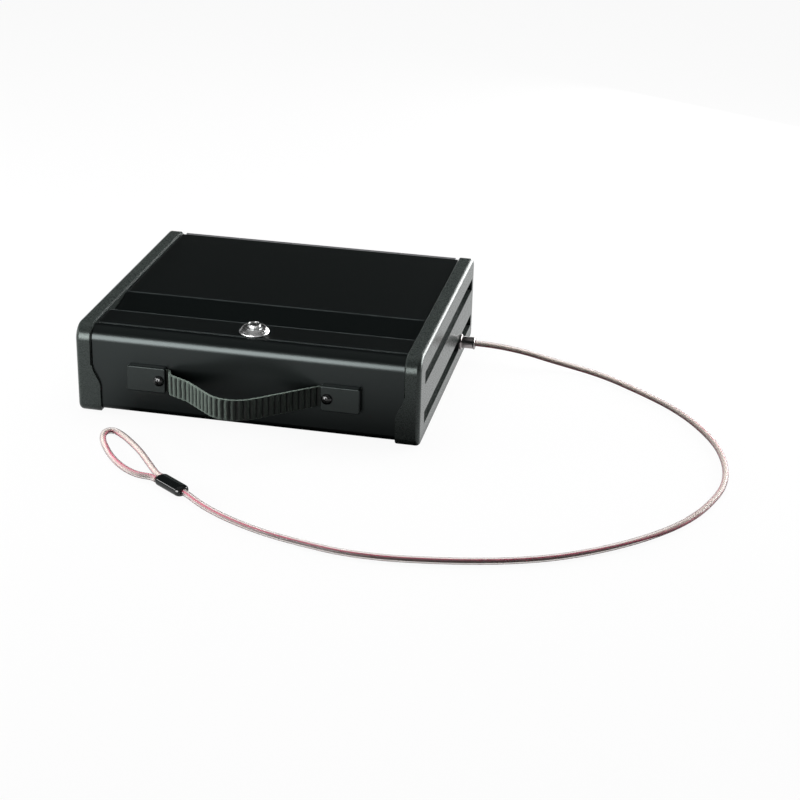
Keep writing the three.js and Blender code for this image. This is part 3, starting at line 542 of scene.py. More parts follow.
def cap_plastic():
    n = Nodes("cap_plastic")
    grain = n.noise(1500, 3, 0.7)
    speck = n.noise(4200, 1)
    tone = n.mix(n.range(grain, 0.35, 0.65), grey(0.008, 0.011, 0.010), grey(0.030, 0.036, 0.034))
    return n.surface(
        base_color=n.mix(n.range(speck, 0.62, 0.72), tone, grey(0.08, 0.09, 0.085)),
        roughness=n.range(grain, 0.3, 0.7, 0.24, 0.32),
        specular_ior_level=0.42,
        specular_tint=(0.88, 1.0, 0.96, 1),
        normal=n.bump(grain, 0.25, 0.10 * MM),
    )


def cover_plastic():
    n = Nodes("cover_plastic")
    grain = n.noise(1900, 2)
    return n.surface(
        base_color=n.mix(grain, grey(0.002, 0.003, 0.003), grey(0.005, 0.007, 0.007)),
        roughness=n.range(grain, 0.3, 0.7, 0.36, 0.46),
        specular_ior_level=0.30,
        specular_tint=(0.88, 1.0, 0.97, 1),
        normal=n.bump(grain, 0.12, 0.08 * MM),
    )


def glossy_black(name, roughness):
    n = Nodes(name)
    wave = n.noise(180, 2)
    return n.surface(
        base_color=n.mix(wave, grey(0.002, 0.003, 0.003), grey(0.005, 0.006, 0.006)),
        roughness=n.range(wave, 0.3, 0.7, roughness * 0.8, roughness * 1.3),
        specular_ior_level=0.5,
    )


def metal(name, low, high, roughness, scratch=0.1):
    n = Nodes(name)
    stretched = n.add("ShaderNodeMapping", {"Vector": n.place(), "Scale": (300, 2400, 1200)})
    brush = n.noise(1, 3, 0.6, stretched.outputs["Vector"])
    cloud = n.noise(90, 2)
    return n.surface(
        base_color=n.mix(cloud, low, high),
        metallic=1.0,
        roughness=n.range(brush, 0.3, 0.7, roughness * 0.7, roughness * 1.3),
        normal=n.bump(brush, scratch, 0.03 * MM),
    )


def foam():
    n = Nodes("foam")
    pores = n.add("ShaderNodeTexVoronoi", {"Vector": n.place(), "Scale": 1100}).outputs["Distance"]
    return n.surface(
        # Painted shade: the pits of the pores, which the bump sinks, are painted darker
        base_color=n.mix(n.range(pores, 0.1, 0.6), grey(0.006), grey(0.024, 0.024, 0.026)),
        roughness=0.95,
        sheen_weight=0.15,
        normal=n.bump(pores, 0.8, 0.4 * MM),
    )


def webbing():
    """Uses the map "weave": metres along the strap and across it."""
    n = Nodes("webbing")
    at = n.add("ShaderNodeUVMap", uv_map="weave").outputs["UV"]
    split = n.add("ShaderNodeSeparateXYZ", {"Vector": at})
    along, across = split.outputs["X"], split.outputs["Y"]
    yarns = n.wave("SINE", across, YARN_PITCH)
    weft = n.wave("SINE", along, WEFT_PITCH)
    weave = n.range(n.math("MULTIPLY", yarns, weft), -1, 1)
    fuzz = n.noise(2500, 2)
    # Painted shade and light: the webbing is painted darkest in the grooves between its ribs and lightest on their
    # crests
    crest = n.range(n.wave("COSINE", along, RIB_PITCH), -1.0, -0.1, 0.12, 1.0)
    lint = n.range(n.math("MULTIPLY", weave, fuzz), 0.0, 0.5, 0.3, 1.0)
    # Painted highlight: both edges of the webbing are painted lighter
    selvage_highlight = n.range(n.math("ABSOLUTE", across), 0.45 * STRAP_WIDTH, 0.49 * STRAP_WIDTH)
    light = n.math("MAXIMUM", n.math("MULTIPLY", crest, lint), selvage_highlight)
    return n.surface(
        base_color=n.mix(light, grey(0.002, 0.003, 0.003), grey(0.128, 0.158, 0.138)),
        roughness=0.6,
        specular_ior_level=0.08,
        normal=n.bump(n.math("ADD", weave, fuzz), 0.6, 0.12 * MM),
    )


def strands(name, low, high):
    n = Nodes(name)
    cloud = n.noise(700, 2)
    return n.surface(base_color=n.mix(cloud, low, high), roughness=0.6, specular_ior_level=0.15)


def clear_jacket():
    """Clear vinyl: mostly see-through, with a pale haze and a gloss that grows towards its edges."""
    n = Nodes("clear_jacket")
    clear = n.add("ShaderNodeBsdfTransparent", {"Color": grey(0.98, 0.96, 0.95)})
    milky = n.add("ShaderNodeBsdfDiffuse", {"Color": grey(0.92, 0.82, 0.80)})
    gloss = n.add("ShaderNodeBsdfGlossy", {"Roughness": 0.15})
    haze = n.range(n.noise(120, 1), 0.3, 0.7, 0.26, 0.32)
    edge = n.add("ShaderNodeFresnel", {"IOR": 1.15}).outputs[0]
    return n.finish(n.blend(edge, n.blend(haze, clear, milky), gloss))


PAINT = powder_coat()
PLASTIC = cap_plastic()
COVER = cover_plastic()
BLACK_SCREW = glossy_black("black_screw", 0.22)
FERRULE = glossy_black("ferrule_black", 0.10)
DARK_STEEL = metal("fitting_steel", grey(0.22, 0.20, 0.20), grey(0.32, 0.29, 0.29), 0.12, 0.03)
CHROME = metal("chrome", grey(0.70, 0.71, 0.71), grey(0.80, 0.81, 0.81), 0.26, 0.03)
STEEL = metal("zinc_plated", grey(0.50, 0.52, 0.54), grey(0.66, 0.67, 0.68), 0.34)
BRASS = metal("brass", grey(0.62, 0.46, 0.18), grey(0.74, 0.56, 0.26), 0.3)
FOAM = foam()
WEBBING = webbing()
ROPE = strands("wire_rope", grey(0.42, 0.38, 0.33), grey(0.56, 0.51, 0.45))
TRACER = strands("tracer_red", grey(0.42, 0.05, 0.11), grey(0.54, 0.09, 0.16))
JACKET = clear_jacket()


# Outlines


def rounded(corners, closed=True):
    """The points of an outline of (u, v) or (u, v, radius), with an arc where there is a radius."""
    count = len(corners)
    points = []
    for i, corner in enumerate(corners):
        here = Vector(corner[:2])
        radius = corner[2] if len(corner) > 2 else 0
        if radius <= 0 or (not closed and i in (0, count - 1)):
            points.append(here)
            continue
        before = (Vector(corners[i - 1][:2]) - here).normalized()
        after = (Vector(corners[(i + 1) % count][:2]) - here).normalized()
        half = before.angle(after) / 2
        centre = here + (before + after).normalized() * radius / math.sin(half)
        start = here + before * radius / math.tan(half) - centre
        sweep = math.pi - 2 * half
        turn = -sweep if before.x * after.y - before.y * after.x > 0 else sweep
        steps = max(3, math.ceil(sweep / ARC_STEP))
        for k in range(steps + 1):
            points.append(centre + Matrix.Rotation(turn * k / steps, 2) @ start)
    return points


def beside(corners, distance):
    """An open path of corners moved to its left."""
    points = [Vector(corner[:2]) for corner in corners]
    runs = [(b - a).normalized() for a, b in zip(points, points[1:])]
    moved = []
    for i, point in enumerate(points):
        before, after = runs[max(0, i - 1)], runs[min(len(runs) - 1, i)]
        normal = Vector((-before.y - after.y, before.x + after.x)).normalized()
        reach = distance / (normal.x * -before.y + normal.y * before.x)
        bend = before.x * after.y - before.y * after.x
        radius = corners[i][2] if len(corners[i]) > 2 else 0
        if radius:
            radius = max(0, radius - math.copysign(distance, bend))
        moved.append((point.x + normal.x * reach, point.y + normal.y * reach, radius))
    return moved


def sheet_outline(path, thickness):
    return rounded(path, False) + rounded(beside(path, thickness), False)[::-1]


def rectangle(low_u, high_u, low_v, high_v, radius=0):
    corners = ((low_u, low_v), (high_u, low_v), (high_u, high_v), (low_u, high_v))
    return rounded([(u, v, radius) for u, v in corners])


def quarter(steps):
    """Points of a quarter circle from (0, 0) to (1, 1), which sets off upwards and ends level."""
    turns = [k / steps * math.pi / 2 for k in range(steps + 1)]
    return [(1 - math.cos(turn), math.sin(turn)) for turn in turns]


def evenly(points, step):
    """Evenly spaced points along a line of points, and its length."""
    lengths = [0]
    for a, b in zip(points, points[1:]):
        lengths.append(lengths[-1] + (b - a).length)
    count = round(lengths[-1] / step)
    line, k = [], 0
    for i in range(count + 1):
        at = lengths[-1] * i / count
        while k < len(points) - 2 and lengths[k + 1] < at:
            k += 1
        share = (at - lengths[k]) / max(lengths[k + 1] - lengths[k], 1e-12)
        line.append(points[k].lerp(points[k + 1], share))
    return line, lengths[-1]


# Meshes


PLACE = {
    "x": lambda u, v, along: (along, u, v),
    "y": lambda u, v, along: (u, along, v),
    "z": lambda u, v, along: (u, v, along),
}


def make(name, vertices, faces):
    """A new object from points and faces, with its faces turned outwards."""
    mesh = bpy.data.meshes.new(name)
    mesh.from_pydata(vertices, [], faces)
    shape = bmesh.new()
    shape.from_mesh(mesh)
    bmesh.ops.remove_doubles(shape, verts=shape.verts, dist=1e-7)
    bmesh.ops.recalc_face_normals(shape, faces=shape.faces)
    shape.to_mesh(mesh)
    shape.free()
    piece = bpy.data.objects.new(name, mesh)
    bpy.context.scene.collection.objects.link(piece)
    return piece


def loft(name, rings, endless=False):
    """Joins rings of as many points each into a skin, with a face over the first and the last ring.

    An endless one has no such faces and goes on from its last ring to its first.
    """
    count = len(rings[0])
    vertices = [point for ring in rings for point in ring]
    faces = []
    last = len(rings) if endless else len(rings) - 1
    for i in range(last):
        a, b = i * count, (i + 1) % len(rings) * count
        for j in range(count):
            k = (j + 1) % count
            faces.append((a + j, a + k, b + k, b + j))
    if not endless:
        faces.append(tuple(range(count)))
        faces.append(tuple(range((len(rings) - 1) * count, len(rings) * count)))
    return make(name, vertices, faces)


def prism(name, axis, outline, start, end):
    """An outline run along an axis: (y, z) along x, (x, z) along y and (x, y) along z."""
    return loft(name, [[PLACE[axis](u, v, along) for u, v in outline] for along in (start, end)])


def block(name, low, high):
    return prism(name, "z", rectangle(low[0], high[0], low[1], high[1]), low[2], high[2])


def lathe(name, axis, centre, profile, segments):
    """A closed profile of (radius, place along the axis), turned about a line through centre."""
    turns = [2 * math.pi * k / segments for k in range(segments)]
    rings = [
        [PLACE[axis](centre[0] + r * math.cos(t), centre[1] + r * math.sin(t), along) for t in turns]
        for r, along in profile
    ]
    return loft(name, rings, endless=profile[0][0] > 0 and profile[0] == profile[-1])


def applied(piece):
    """Gives the piece its evaluated mesh and drops its modifiers."""
    graph = bpy.context.evaluated_depsgraph_get()
    mesh = bpy.data.meshes.new_from_object(piece.evaluated_get(graph))
    piece.modifiers.clear()
    piece.data = mesh
    return piece


def join(piece, operation, *others):
    """A boolean of the piece with others, which are used up."""
    for other in others:
        modifier = piece.modifiers.new("join", "BOOLEAN")
        modifier.operation = operation
        modifier.solver = "EXACT"
        modifier.object = other
        applied(piece)
        bpy.data.objects.remove(other)
    return piece


def softened(piece, width, segments=3):
    """Rounds the sharp edges of a piece."""
    modifier = piece.modifiers.new("soften", "BEVEL")
    modifier.width = width
    modifier.segments = segments
    modifier.limit_method = "ANGLE"
    modifier.angle_limit = math.radians(40)
    modifier.use_clamp_overlap = True
    return applied(piece)


def dressed(piece, material, body, slot, *nodes, angle=35, weighted=True):
    """Smooth shading, a material, and the body and the nodes that the piece goes with."""
    piece.data.shade_smooth()
    piece.data.set_sharp_from_angle(angle=math.radians(angle))
    piece.data.materials.clear()
    piece.data.materials.append(material)
    if weighted:
        modifier = piece.modifiers.new("normals", "WEIGHTED_NORMAL")
        modifier.keep_sharp = True
        modifier.weight = 80
        applied(piece)
    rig.ride(piece, body)
    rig.slot(piece, slot)
    if nodes:
        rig.replaces(piece, *nodes)
    return piece


# Cable, its eye, the ferrule and the fitting


CURVE_STEPS = 24


def curve_through(points, step):
    """Evenly spaced points of the centripetal Catmull-Rom curve through a route."""
    points = [Vector(point) for point in points]
    ends = [2 * points[0] - points[1], *points, 2 * points[-1] - points[-2]]
    dense = []
    for a, b, c, d in zip(ends, ends[1:], ends[2:], ends[3:]):
        t0 = 0
        t1 = t0 + math.sqrt((b - a).length)
        t2 = t1 + math.sqrt((c - b).length)
        t3 = t2 + math.sqrt((d - c).length)
        for k in range(CURVE_STEPS):
            t = t1 + (t2 - t1) * k / CURVE_STEPS
            ab = a.lerp(b, (t - t0) / (t1 - t0))
            bc = b.lerp(c, (t - t1) / (t2 - t1))
            cd = c.lerp(d, (t - t2) / (t3 - t2))
            abc = ab.lerp(bc, (t - t0) / (t2 - t0))
            bcd = bc.lerp(cd, (t - t1) / (t3 - t1))
            dense.append(abc.lerp(bcd, (t - t1) / (t2 - t1)))
    dense.append(points[-1])
    return evenly(dense, step)


def frames(line):
    """For each point of a line, the direction of travel, the side to its left and the way up."""
    found = []
    for i, point in enumerate(line):
        ahead = (line[min(i + 1, len(line) - 1)] - line[max(i - 1, 0)]).normalized()
        side = UP.cross(ahead).normalized()
        found.append((point, ahead, side, ahead.cross(side)))
    return found


def tube(name, line, radius, sides=16):
    rings = []
    for point, _, side, top in frames(line):
        turns = [2 * math.pi * k / sides for k in range(sides)]
        rings.append([point + (side * math.cos(t) + top * math.sin(t)) * radius for t in turns])
    return loft(name, rings)


def strand(name, line, offset, radius, angle, sides=8):
    """A thinner tube beside a line. angle(share) is its turn from the line's upper side."""
    steps = len(line) - 1
    moved = []
    for i, (point, _, side, top) in enumerate(frames(line)):
        turn = angle(i / steps)
        moved.append(point + (top * math.cos(turn) + side * math.sin(turn)) * offset)
    return tube(name, moved, radius, sides)


def merged(name, pieces):
    """One object from several, with their meshes side by side."""
    shape = bmesh.new()
    for piece in pieces:
        shape.from_mesh(piece.data)
        bpy.data.objects.remove(piece)
    mesh = bpy.data.meshes.new(name)
    shape.to_mesh(mesh)
    shape.free()
    result = bpy.data.objects.new(name, mesh)
    bpy.context.scene.collection.objects.link(result)
    return result


def smooth_step(value, low, high):
    share = min(1, max(0, (value - low) / (high - low)))
    return share * share * (3 - 2 * share)


def cable_tracer_angle(share):
    """Under the cable as far as the right-hand bend, then on its upper side along the front."""
    return math.radians(175 - 135 * smooth_step(share, 0.40, 0.62))


def eye_tracer_angle(share):
    """Under the far side of the eye, inside its tip and on the upper side of its near side."""
    at_tip, after_tip = smooth_step(share, 0.36, 0.46), smooth_step(share, 0.5, 0.75)
    return math.radians(180 - 90 * at_tip - 100 * after_tip)


def roped(name, route, node, tracer_angle):
    """The wire rope, its tracer thread and its jacket along a route."""
    line, length = curve_through(route, ROUTE_STEP)
    fine, _ = curve_through(route, ROUTE_STEP / 2)
    turns = 2 * math.pi * length / ROPE_PITCH
    lay = []
    for k in range(ROPE_STRANDS):
        start = 2 * math.pi * k / ROPE_STRANDS

        def twist(share, start=start):
            return turns * share + start

        lay.append(strand(f"{name}_{k}", fine, ROPE_RADIUS, ROPE_STRAND_RADIUS, twist, 6))
    looks = {"weighted": False, "angle": 80}
    rope = dressed(merged(f"{name}_rope", lay), ROPE, "case", "cable_jacket", **looks)
    tracer = strand(f"{name}_tracer", line, TRACER_OFFSET, TRACER_RADIUS, tracer_angle)
    dressed(tracer, TRACER, "case", "cable_jacket", **looks)
    jacket = tube(f"{name}_jacket", line, CABLE_RADIUS)
    dressed(jacket, JACKET, "case", "cable_jacket", node, **looks)
    return jacket, [rope, tracer], line, length


def squarish(value, size):
    """A sine or cosine, pushed outwards to make an oval squarer, times half the oval's size."""
    return math.copysign(abs(value) ** FERRULE_SQUARENESS, value) * size / 2


def make_ferrule():
    """An oval sleeve with drawn-in, rounded ends."""
    low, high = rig.box("cable_ferrule")
    centre = (low + high) / 2
    turn = Matrix.Translation(centre) @ Matrix.Rotation(FERRULE_TURN, 4, "Z")
    half = FERRULE_LENGTH / 2
    stations = [(-half + FERRULE_END * inward, fullness) for inward, fullness in quarter(10)]
    stations += [(-x, fullness) for x, fullness in reversed(stations)]
    rings = []
    sides = 48
    for x, fullness in stations:
        size = FERRULE_TIP + (1 - FERRULE_TIP) * fullness
        ring = []
        for k in range(sides):
            angle = 2 * math.pi * k / sides
            across = squarish(math.cos(angle), FERRULE_WIDTH)
            upward = squarish(math.sin(angle), FERRULE_HEIGHT)
            ring.append(turn @ Vector((x, across * size, upward * size)))
        rings.append(ring)
    piece = loft("ferrule", rings)
    return dressed(piece, FERRULE, "case", "ferrule_black", "cable_ferrule", angle=50)


def make_fitting():
    """A turned sleeve with a rounded flange on the cap, a neck and a rolled rim round the cable."""
    low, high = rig.box("cable_fitting")
    centre = ((low.y + high.y) / 2, (low.z + high.z) / 2)
    flange = HALF + GAP
    end = high.x
    profile = [
        (0, low.x),
        (FITTING_SHANK, low.x),
        (FITTING_SHANK, flange),
        (FITTING_FLANGE - 0.4 * MM, flange),
        (FITTING_FLANGE, flange + 0.3 * MM),
        (FITTING_FLANGE, flange + 0.9 * MM),
        (FITTING_FLANGE - 0.3 * MM, flange + 1.35 * MM),
        (FITTING_FLANGE - 0.8 * MM, flange + 1.5 * MM),
        (FITTING_NECK + 0.2 * MM, flange + 1.6 * MM),
        (FITTING_NECK, flange + 1.9 * MM),
        (FITTING_NECK, end - 1.9 * MM),
        (FITTING_RIM - 0.25 * MM, end - 1.6 * MM),
        (FITTING_RIM, end - 1.2 * MM),
        (FITTING_RIM, end - 0.6 * MM),
        (FITTING_RIM - 0.4 * MM, end - 0.15 * MM),
        (FITTING_RIM - 0.9 * MM, end),
        (FITTING_BORE, end),
        (FITTING_BORE - 0.2 * MM, end - 0.6 * MM),
        (0, end - 0.6 * MM),
    ]
    piece = lathe("fitting", "x", centre, profile, 48)
    return dressed(piece, DARK_STEEL, "case", "lock_chrome", "cable_fitting", angle=40)


fitting = make_fitting()
ferrule = make_ferrule()
cable, cable_parts, cable_line, cable_length = roped(
    "cable", CABLE_ROUTE, "security_cable", cable_tracer_angle,
)
eye, eye_parts, eye_line, eye_length = roped("eye", EYE_ROUTE, "cable_eye", eye_tracer_angle)
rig.cord(
    cable, exit=CABLE_ROUTE[0], length=cable_length, diameter=2 * CABLE_RADIUS, far_end="fitting",
    stiffness="medium", lay="loose", path=cable_line, with_pieces=[fitting, ferrule, *cable_parts],
)
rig.cord(
    eye, exit=EYE_ROUTE[0], length=eye_length, diameter=2 * CABLE_RADIUS, far_end="object",
    stiffness="medium", lay="loose", path=eye_line, with_pieces=eye_parts,
)


# Steel body and lid


def make_body():
    """One sheet from the flange along the front's top, down, along the floor and up the back."""
    wall_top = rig.box("hinge_leaf_body")[0].z + LEAF_WIDTH
    path = [
        (FLANGE_END, LID_TOP - FLANGE_LIP),
        (FLANGE_END, LID_TOP, LID_BEND),
        (BODY_FRONT, LID_TOP, BODY_RADIUS),
        (BODY_FRONT, BODY_RAISE, BODY_BEND),
        (BODY_BACK, BODY_RAISE, BODY_BEND),
        (BODY_BACK, wall_top),
    ]
    piece = prism("body", "x", sheet_outline(path, SHEET), -BODY_HALF, BODY_HALF)
    return dressed(piece, PAINT, "case", "body_paint", "base_shell", angle=30)


def make_lid():
    """A sheet with a sloped recess, and in front of it the strip with the lock's hole and a lip."""
    path = [
        (LID_BACK, LID_TOP),
        (STEP_Y + RECESS_LENGTH, LID_TOP, LID_BEND),
        (STEP_Y + RECESS_SLANT, LID_TOP - RECESS_DEPTH, LID_BEND),
        (STEP_Y, LID_TOP, LID_BEND),
        (LID_FRONT, LID_TOP, LID_BEND),
        (LID_FRONT, LID_TOP - LID_LIP),
    ]
    piece = prism("lid_panel", "x", sheet_outline(path, SHEET), -LID_HALF, LID_HALF)
    below = LID_TOP - 4 * SHEET
    profile = [(0, below), (LOCK_HOLE, below), (LOCK_HOLE, TOP), (0, TOP)]
    hole = lathe("hole", "z", (0, LOCK_Y), profile, 48)
    join(piece, "DIFFERENCE", hole)
    return dressed(piece, PAINT, "lid", "body_paint", "lid", angle=25)


make_body()
make_lid()


# End caps


def cap_outline(inset):
    return rounded([
        (FRONT + inset, inset, CAP_FLOOR_RADIUS - inset),
        (BACK - inset, inset, CAP_FLOOR_RADIUS - inset),
        (BACK - inset, TOP - inset, CAP_BACK_RADIUS - inset),
        (FRONT + inset, TOP - inset, CAP_FRONT_RADIUS - inset),
    ])


def cap_slab(side):
    """The plate of a cap, with a rounded edge all round its outer face."""
    inner = HALF - CAP_THICK
    edge = HALF - CAP_EDGE
    rings = [(CAP_CHAMFER, inner), (0, inner + CAP_CHAMFER)]
    rings += [(CAP_EDGE * inset, edge + CAP_EDGE * outward) for inset, outward in quarter(10)]
    return loft("slab", [[(side * x, u, v) for u, v in cap_outline(inset)] for inset, x in rings])


def cap_foot(side):
    """The foot that laps round the body, wide at the floor and drawn in by an S-curve above it."""
    inner = HALF - CAP_THICK
    toe = inner - FOOT_REACH
    root = inner + CAP_CHAMFER + CAP_SOFTENING
    outline = rounded([(root, 0), (toe, 0, FOOT_CORNER), (toe, FOOT_HEIGHT)], False)
    steps = 24
    for k in range(1, steps + 1):
        drawn_in = FOOT_REACH * (1 - math.cos(math.pi * k / steps)) / 2
        outline.append(Vector((toe + drawn_in, FOOT_HEIGHT + FOOT_BLEND * k / steps)))
    outline.append(Vector((root, FOOT_HEIGHT + FOOT_BLEND)))
    flare = prism("flare", "y", [(side * u, v) for u, v in outline], FRONT - SHEET, BACK + SHEET)
    foot = prism("foot", "x", cap_outline(0), side * toe, side * (root - CAP_SOFTENING / 2))
    well = rounded([
        (BODY_FRONT - GAP, BODY_RAISE - GAP, BODY_BEND + GAP),
        (BODY_BACK + GAP, BODY_RAISE - GAP, BODY_BEND + GAP),
        (BODY_BACK + GAP, TOP + SHEET),
        (BODY_FRONT - GAP, TOP + SHEET),
    ])
    join(foot, "INTERSECT", flare)
    return join(foot, "DIFFERENCE", prism("well", "x", well, side * (toe - SHEET), side * inner))


def cap_channels(side):
    """The boxes that a cap's outer face is cut by. The right-hand cap keeps a boss for the fitting."""
    low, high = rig.box("cable_fitting")
    middle = (low.y + high.y) / 2
    ends = [(FRONT + CHANNEL_FRONT, BACK - CHANNEL_BACK)]
    split = [(ends[0][0], middle - FITTING_BOSS / 2), (middle + FITTING_BOSS / 2, ends[0][1])]
    levels = [(TOP - CHANNEL_DROP, ends), (CHANNEL_RAISE, split if side > 0 else ends)]
    for level, spans in levels:
        for start, end in spans:
            outline = rectangle(start, end, level - CHANNEL_HEIGHT / 2, level + CHANNEL_HEIGHT / 2)
            yield prism("channel", "x", outline, side * (HALF - CHANNEL_DEPTH), side * (HALF + SHEET))


def make_cap(label, side):
    cap = join(cap_slab(side), "UNION", cap_foot(side))
    join(cap, "DIFFERENCE", *cap_channels(side))
    cap.name = f"cap_{label}"
    softened(cap, CAP_SOFTENING)
    return dressed(cap, PLASTIC, "case", "cap_plastic", f"end_cap_{label}", angle=35)


make_cap("left", -1)
make_cap("right", 1)


# Webbing handle


def strap_line():
    """The middle line of the webbing seen from above, evenly spaced, and its length."""
    low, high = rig.box("handle_strap")
    middle = (low.x + high.x) / 2
    back = high.y - STRAP / 2
    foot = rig.box("strap_cover_right")[0].x - middle - STRAP_CLEAR
    end = (high.x - low.x) / 2
    rise = back - (low.y + STRAP / 2) - STRAP_APEX_RADIUS
    slope = math.atan2(rise, foot) + math.asin(STRAP_APEX_RADIUS / math.hypot(rise, foot))
    knee_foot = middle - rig.box("strap_cover_left")[1].x - KNEE_CLEAR
    corners = [
        (middle - end, back),
        (middle - knee_foot, back, STRAP_FOOT_RADIUS),
        (middle - KNEE_SPAN, back - KNEE_REACH, KNEE_RADIUS),
        (middle - HIP_SPAN, back - (foot - HIP_SPAN) * math.tan(slope), HIP_RADIUS),
        (middle, back - foot * math.tan(slope), STRAP_APEX_RADIUS),
        (middle + foot, back, STRAP_FOOT_RADIUS),
        (middle + end, back),
    ]
    return evenly(rounded(corners, False), STRAP_STEP)


def wavered(along, across):
    """A place along the webbing, shifted a little so that its ribs aren't quite straight."""
    spot = Vector((along / WAVER_ALONG, across / WAVER_ACROSS, 0))
    return along + noise.noise(spot) * RIB_WAVER


def rib(along, across):
    """How far a rib of the weave stands out, from 0 in a groove to 1 on a crest."""
    wave = 0.5 + 0.5 * math.cos(2 * math.pi * wavered(along, across) / RIB_PITCH)
    return math.sqrt(wave)


def make_strap():
    """Ribbed on both faces, half a rib apart, and thinner towards its two edges."""
    low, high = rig.box("handle_strap")
    middle = (low.z + high.z) / 2
    line, length = strap_line()
    half, thick = STRAP_WIDTH / 2, STRAP / 2
    columns = 22
    rings, weave = [], []
    for i, point in enumerate(line):
        ahead = (line[min(i + 1, len(line) - 1)] - line[max(i - 1, 0)]).normalized()
        out = Vector((ahead.y, -ahead.x))
        along = length * i / (len(line) - 1)
        ring = []
        for face in (1, -1):
            place = along if face > 0 else along + RIB_PITCH / 2
            for k in range(columns + 1):
                across = face * (2 * k / columns - 1)
                fullness = math.sqrt(1 - across ** 6)
                groove = RIB_HEIGHT * (1 - rib(place, across * half))
                skin = thick * (RIB_EDGE + (1 - RIB_EDGE) * fullness)
                depth = face * (skin - groove * fullness)
                scallop = UPPER_SCALLOP if across > 0 else LOWER_SCALLOP
                reach = across * (half - scallop * (1 - rib(along, 0)))
                spot = point + out * depth
                ring.append((spot.x, spot.y, middle + reach))
                weave.append((wavered(place, across * half), across * half))
        rings.append(ring)
    piece = loft("strap", rings)
    layer = piece.data.uv_layers.new(name="weave")
    for loop in piece.data.loops:
        layer.data[loop.index].uv = weave[loop.vertex_index]
    return dressed(piece, WEBBING, "case", "webbing", "handle_strap", angle=60, weighted=False)


def make_cover(label, side):
    """A plate with a rounded edge and a pocket for the end of the webbing, open towards the middle."""
    low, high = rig.box(f"strap_cover_{label}")
    edge = low.y + COVER_EDGE
    insets = [(0, high.y)]
    insets += [(COVER_EDGE * inset, edge - COVER_EDGE * outward) for inset, outward in quarter(8)]
    rings = []
    for inset, y in insets:
        radius = COVER_CORNER - inset * 0.9
        outline = rectangle(low.x + inset, high.x - inset, low.z + inset, high.z - inset, radius)
        rings.append([(u, y, v) for u, v in outline])
    piece = loft(f"cover_{label}", rings)
    strap_low, strap_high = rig.box("handle_strap")
    start = low.x - SHEET if side > 0 else low.x + COVER_WALL
    end = high.x - COVER_WALL if side > 0 else high.x + SHEET
    pocket = block(
        "pocket",
        (start, strap_high.y - STRAP - GAP, strap_low.z - GAP),
        (end, high.y + SHEET, strap_high.z + GAP),
    )
    join(piece, "DIFFERENCE", pocket)
    softened(piece, COVER_SOFTENING, 2)
    return dressed(piece, COVER, "case", "cover_plastic", f"strap_cover_{label}", angle=30)


def make_strap_screw(label):
    """A domed head with a cross recess, on a plain shank."""
    low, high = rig.box(f"strap_screw_{label}")
    centre = ((low.x + high.x) / 2, (low.z + high.z) / 2)
    radius = (high.x - low.x) / 2
    under = low.y + SCREW_DOME
    profile = [(radius * outward, low.y + SCREW_DOME * inward) for inward, outward in quarter(12)]
    profile += [(SCREW_SHANK, under), (SCREW_SHANK, high.y), (0, high.y)]
    piece = lathe(f"screw_{label}", "y", centre, profile, 48)
    half_sizes = (CROSS_HALF_WIDTH, CROSS_HALF_LENGTH)
    for u, v in (half_sizes, half_sizes[::-1]):
        rings = []
        for y, scale in ((low.y - MM, 1.25), (low.y + CROSS_DEPTH, 0.55)):
            corners = ((-1, -1), (1, -1), (1, 1), (-1, 1))
            sizes = [(a * u * scale, b * v * scale) for a, b in corners]
            rings.append([(centre[0] + x, y, centre[1] + z) for x, z in sizes])
        join(piece, "DIFFERENCE", loft("slot", rings))
    return dressed(piece, BLACK_SCREW, "case", "black_screw", f"strap_screw_{label}", angle=35)


make_strap()
for label, side in (("left", -1), ("right", 1)):
    make_cover(label, side)
    make_strap_screw(label)


# Cam lock


def make_lock():
    """The turned housing: its barrel, the domed bezel and the collar round the plug."""
    low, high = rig.box("lock_housing")
    base = LID_TOP + GAP
    radius = high.x
    top = high.z
    crown = top - COLLAR_HEIGHT
    profile = [
        (HOUSING_BORE, low.z),
        (HOUSING_BARREL, low.z),
        (HOUSING_BARREL, base),
        (radius - 0.4 * MM, base),
        (radius, base + 0.3 * MM),
        (radius, base + 0.8 * MM),
        (radius - 0.25 * MM, base + 1.25 * MM),
        (radius - 0.8 * MM, base + 1.6 * MM),
        # The bezel's dome
        (9.3 * MM, base + 2.7 * MM),
        (8.1 * MM, crown - 0.15 * MM),
        (7.2 * MM, crown),
        (6.3 * MM, crown - 0.15 * MM),
        (5.5 * MM, crown - 0.6 * MM),
        # The collar
        (COLLAR_RADIUS, crown - 0.8 * MM),
        (COLLAR_RADIUS, top - 0.5 * MM),
        (COLLAR_RADIUS - 0.15 * MM, top - 0.15 * MM),
        (COLLAR_RADIUS - 0.5 * MM, top),
        (HOUSING_BORE + 0.2 * MM, top - 0.1 * MM),
        (HOUSING_BORE, top - 0.4 * MM),
        (HOUSING_BORE, low.z),
    ]
    housing = lathe("lock_body", "z", (0, LOCK_Y), profile, 72)
    dressed(housing, CHROME, "lid", "lock_chrome", "lock_housing", angle=40)


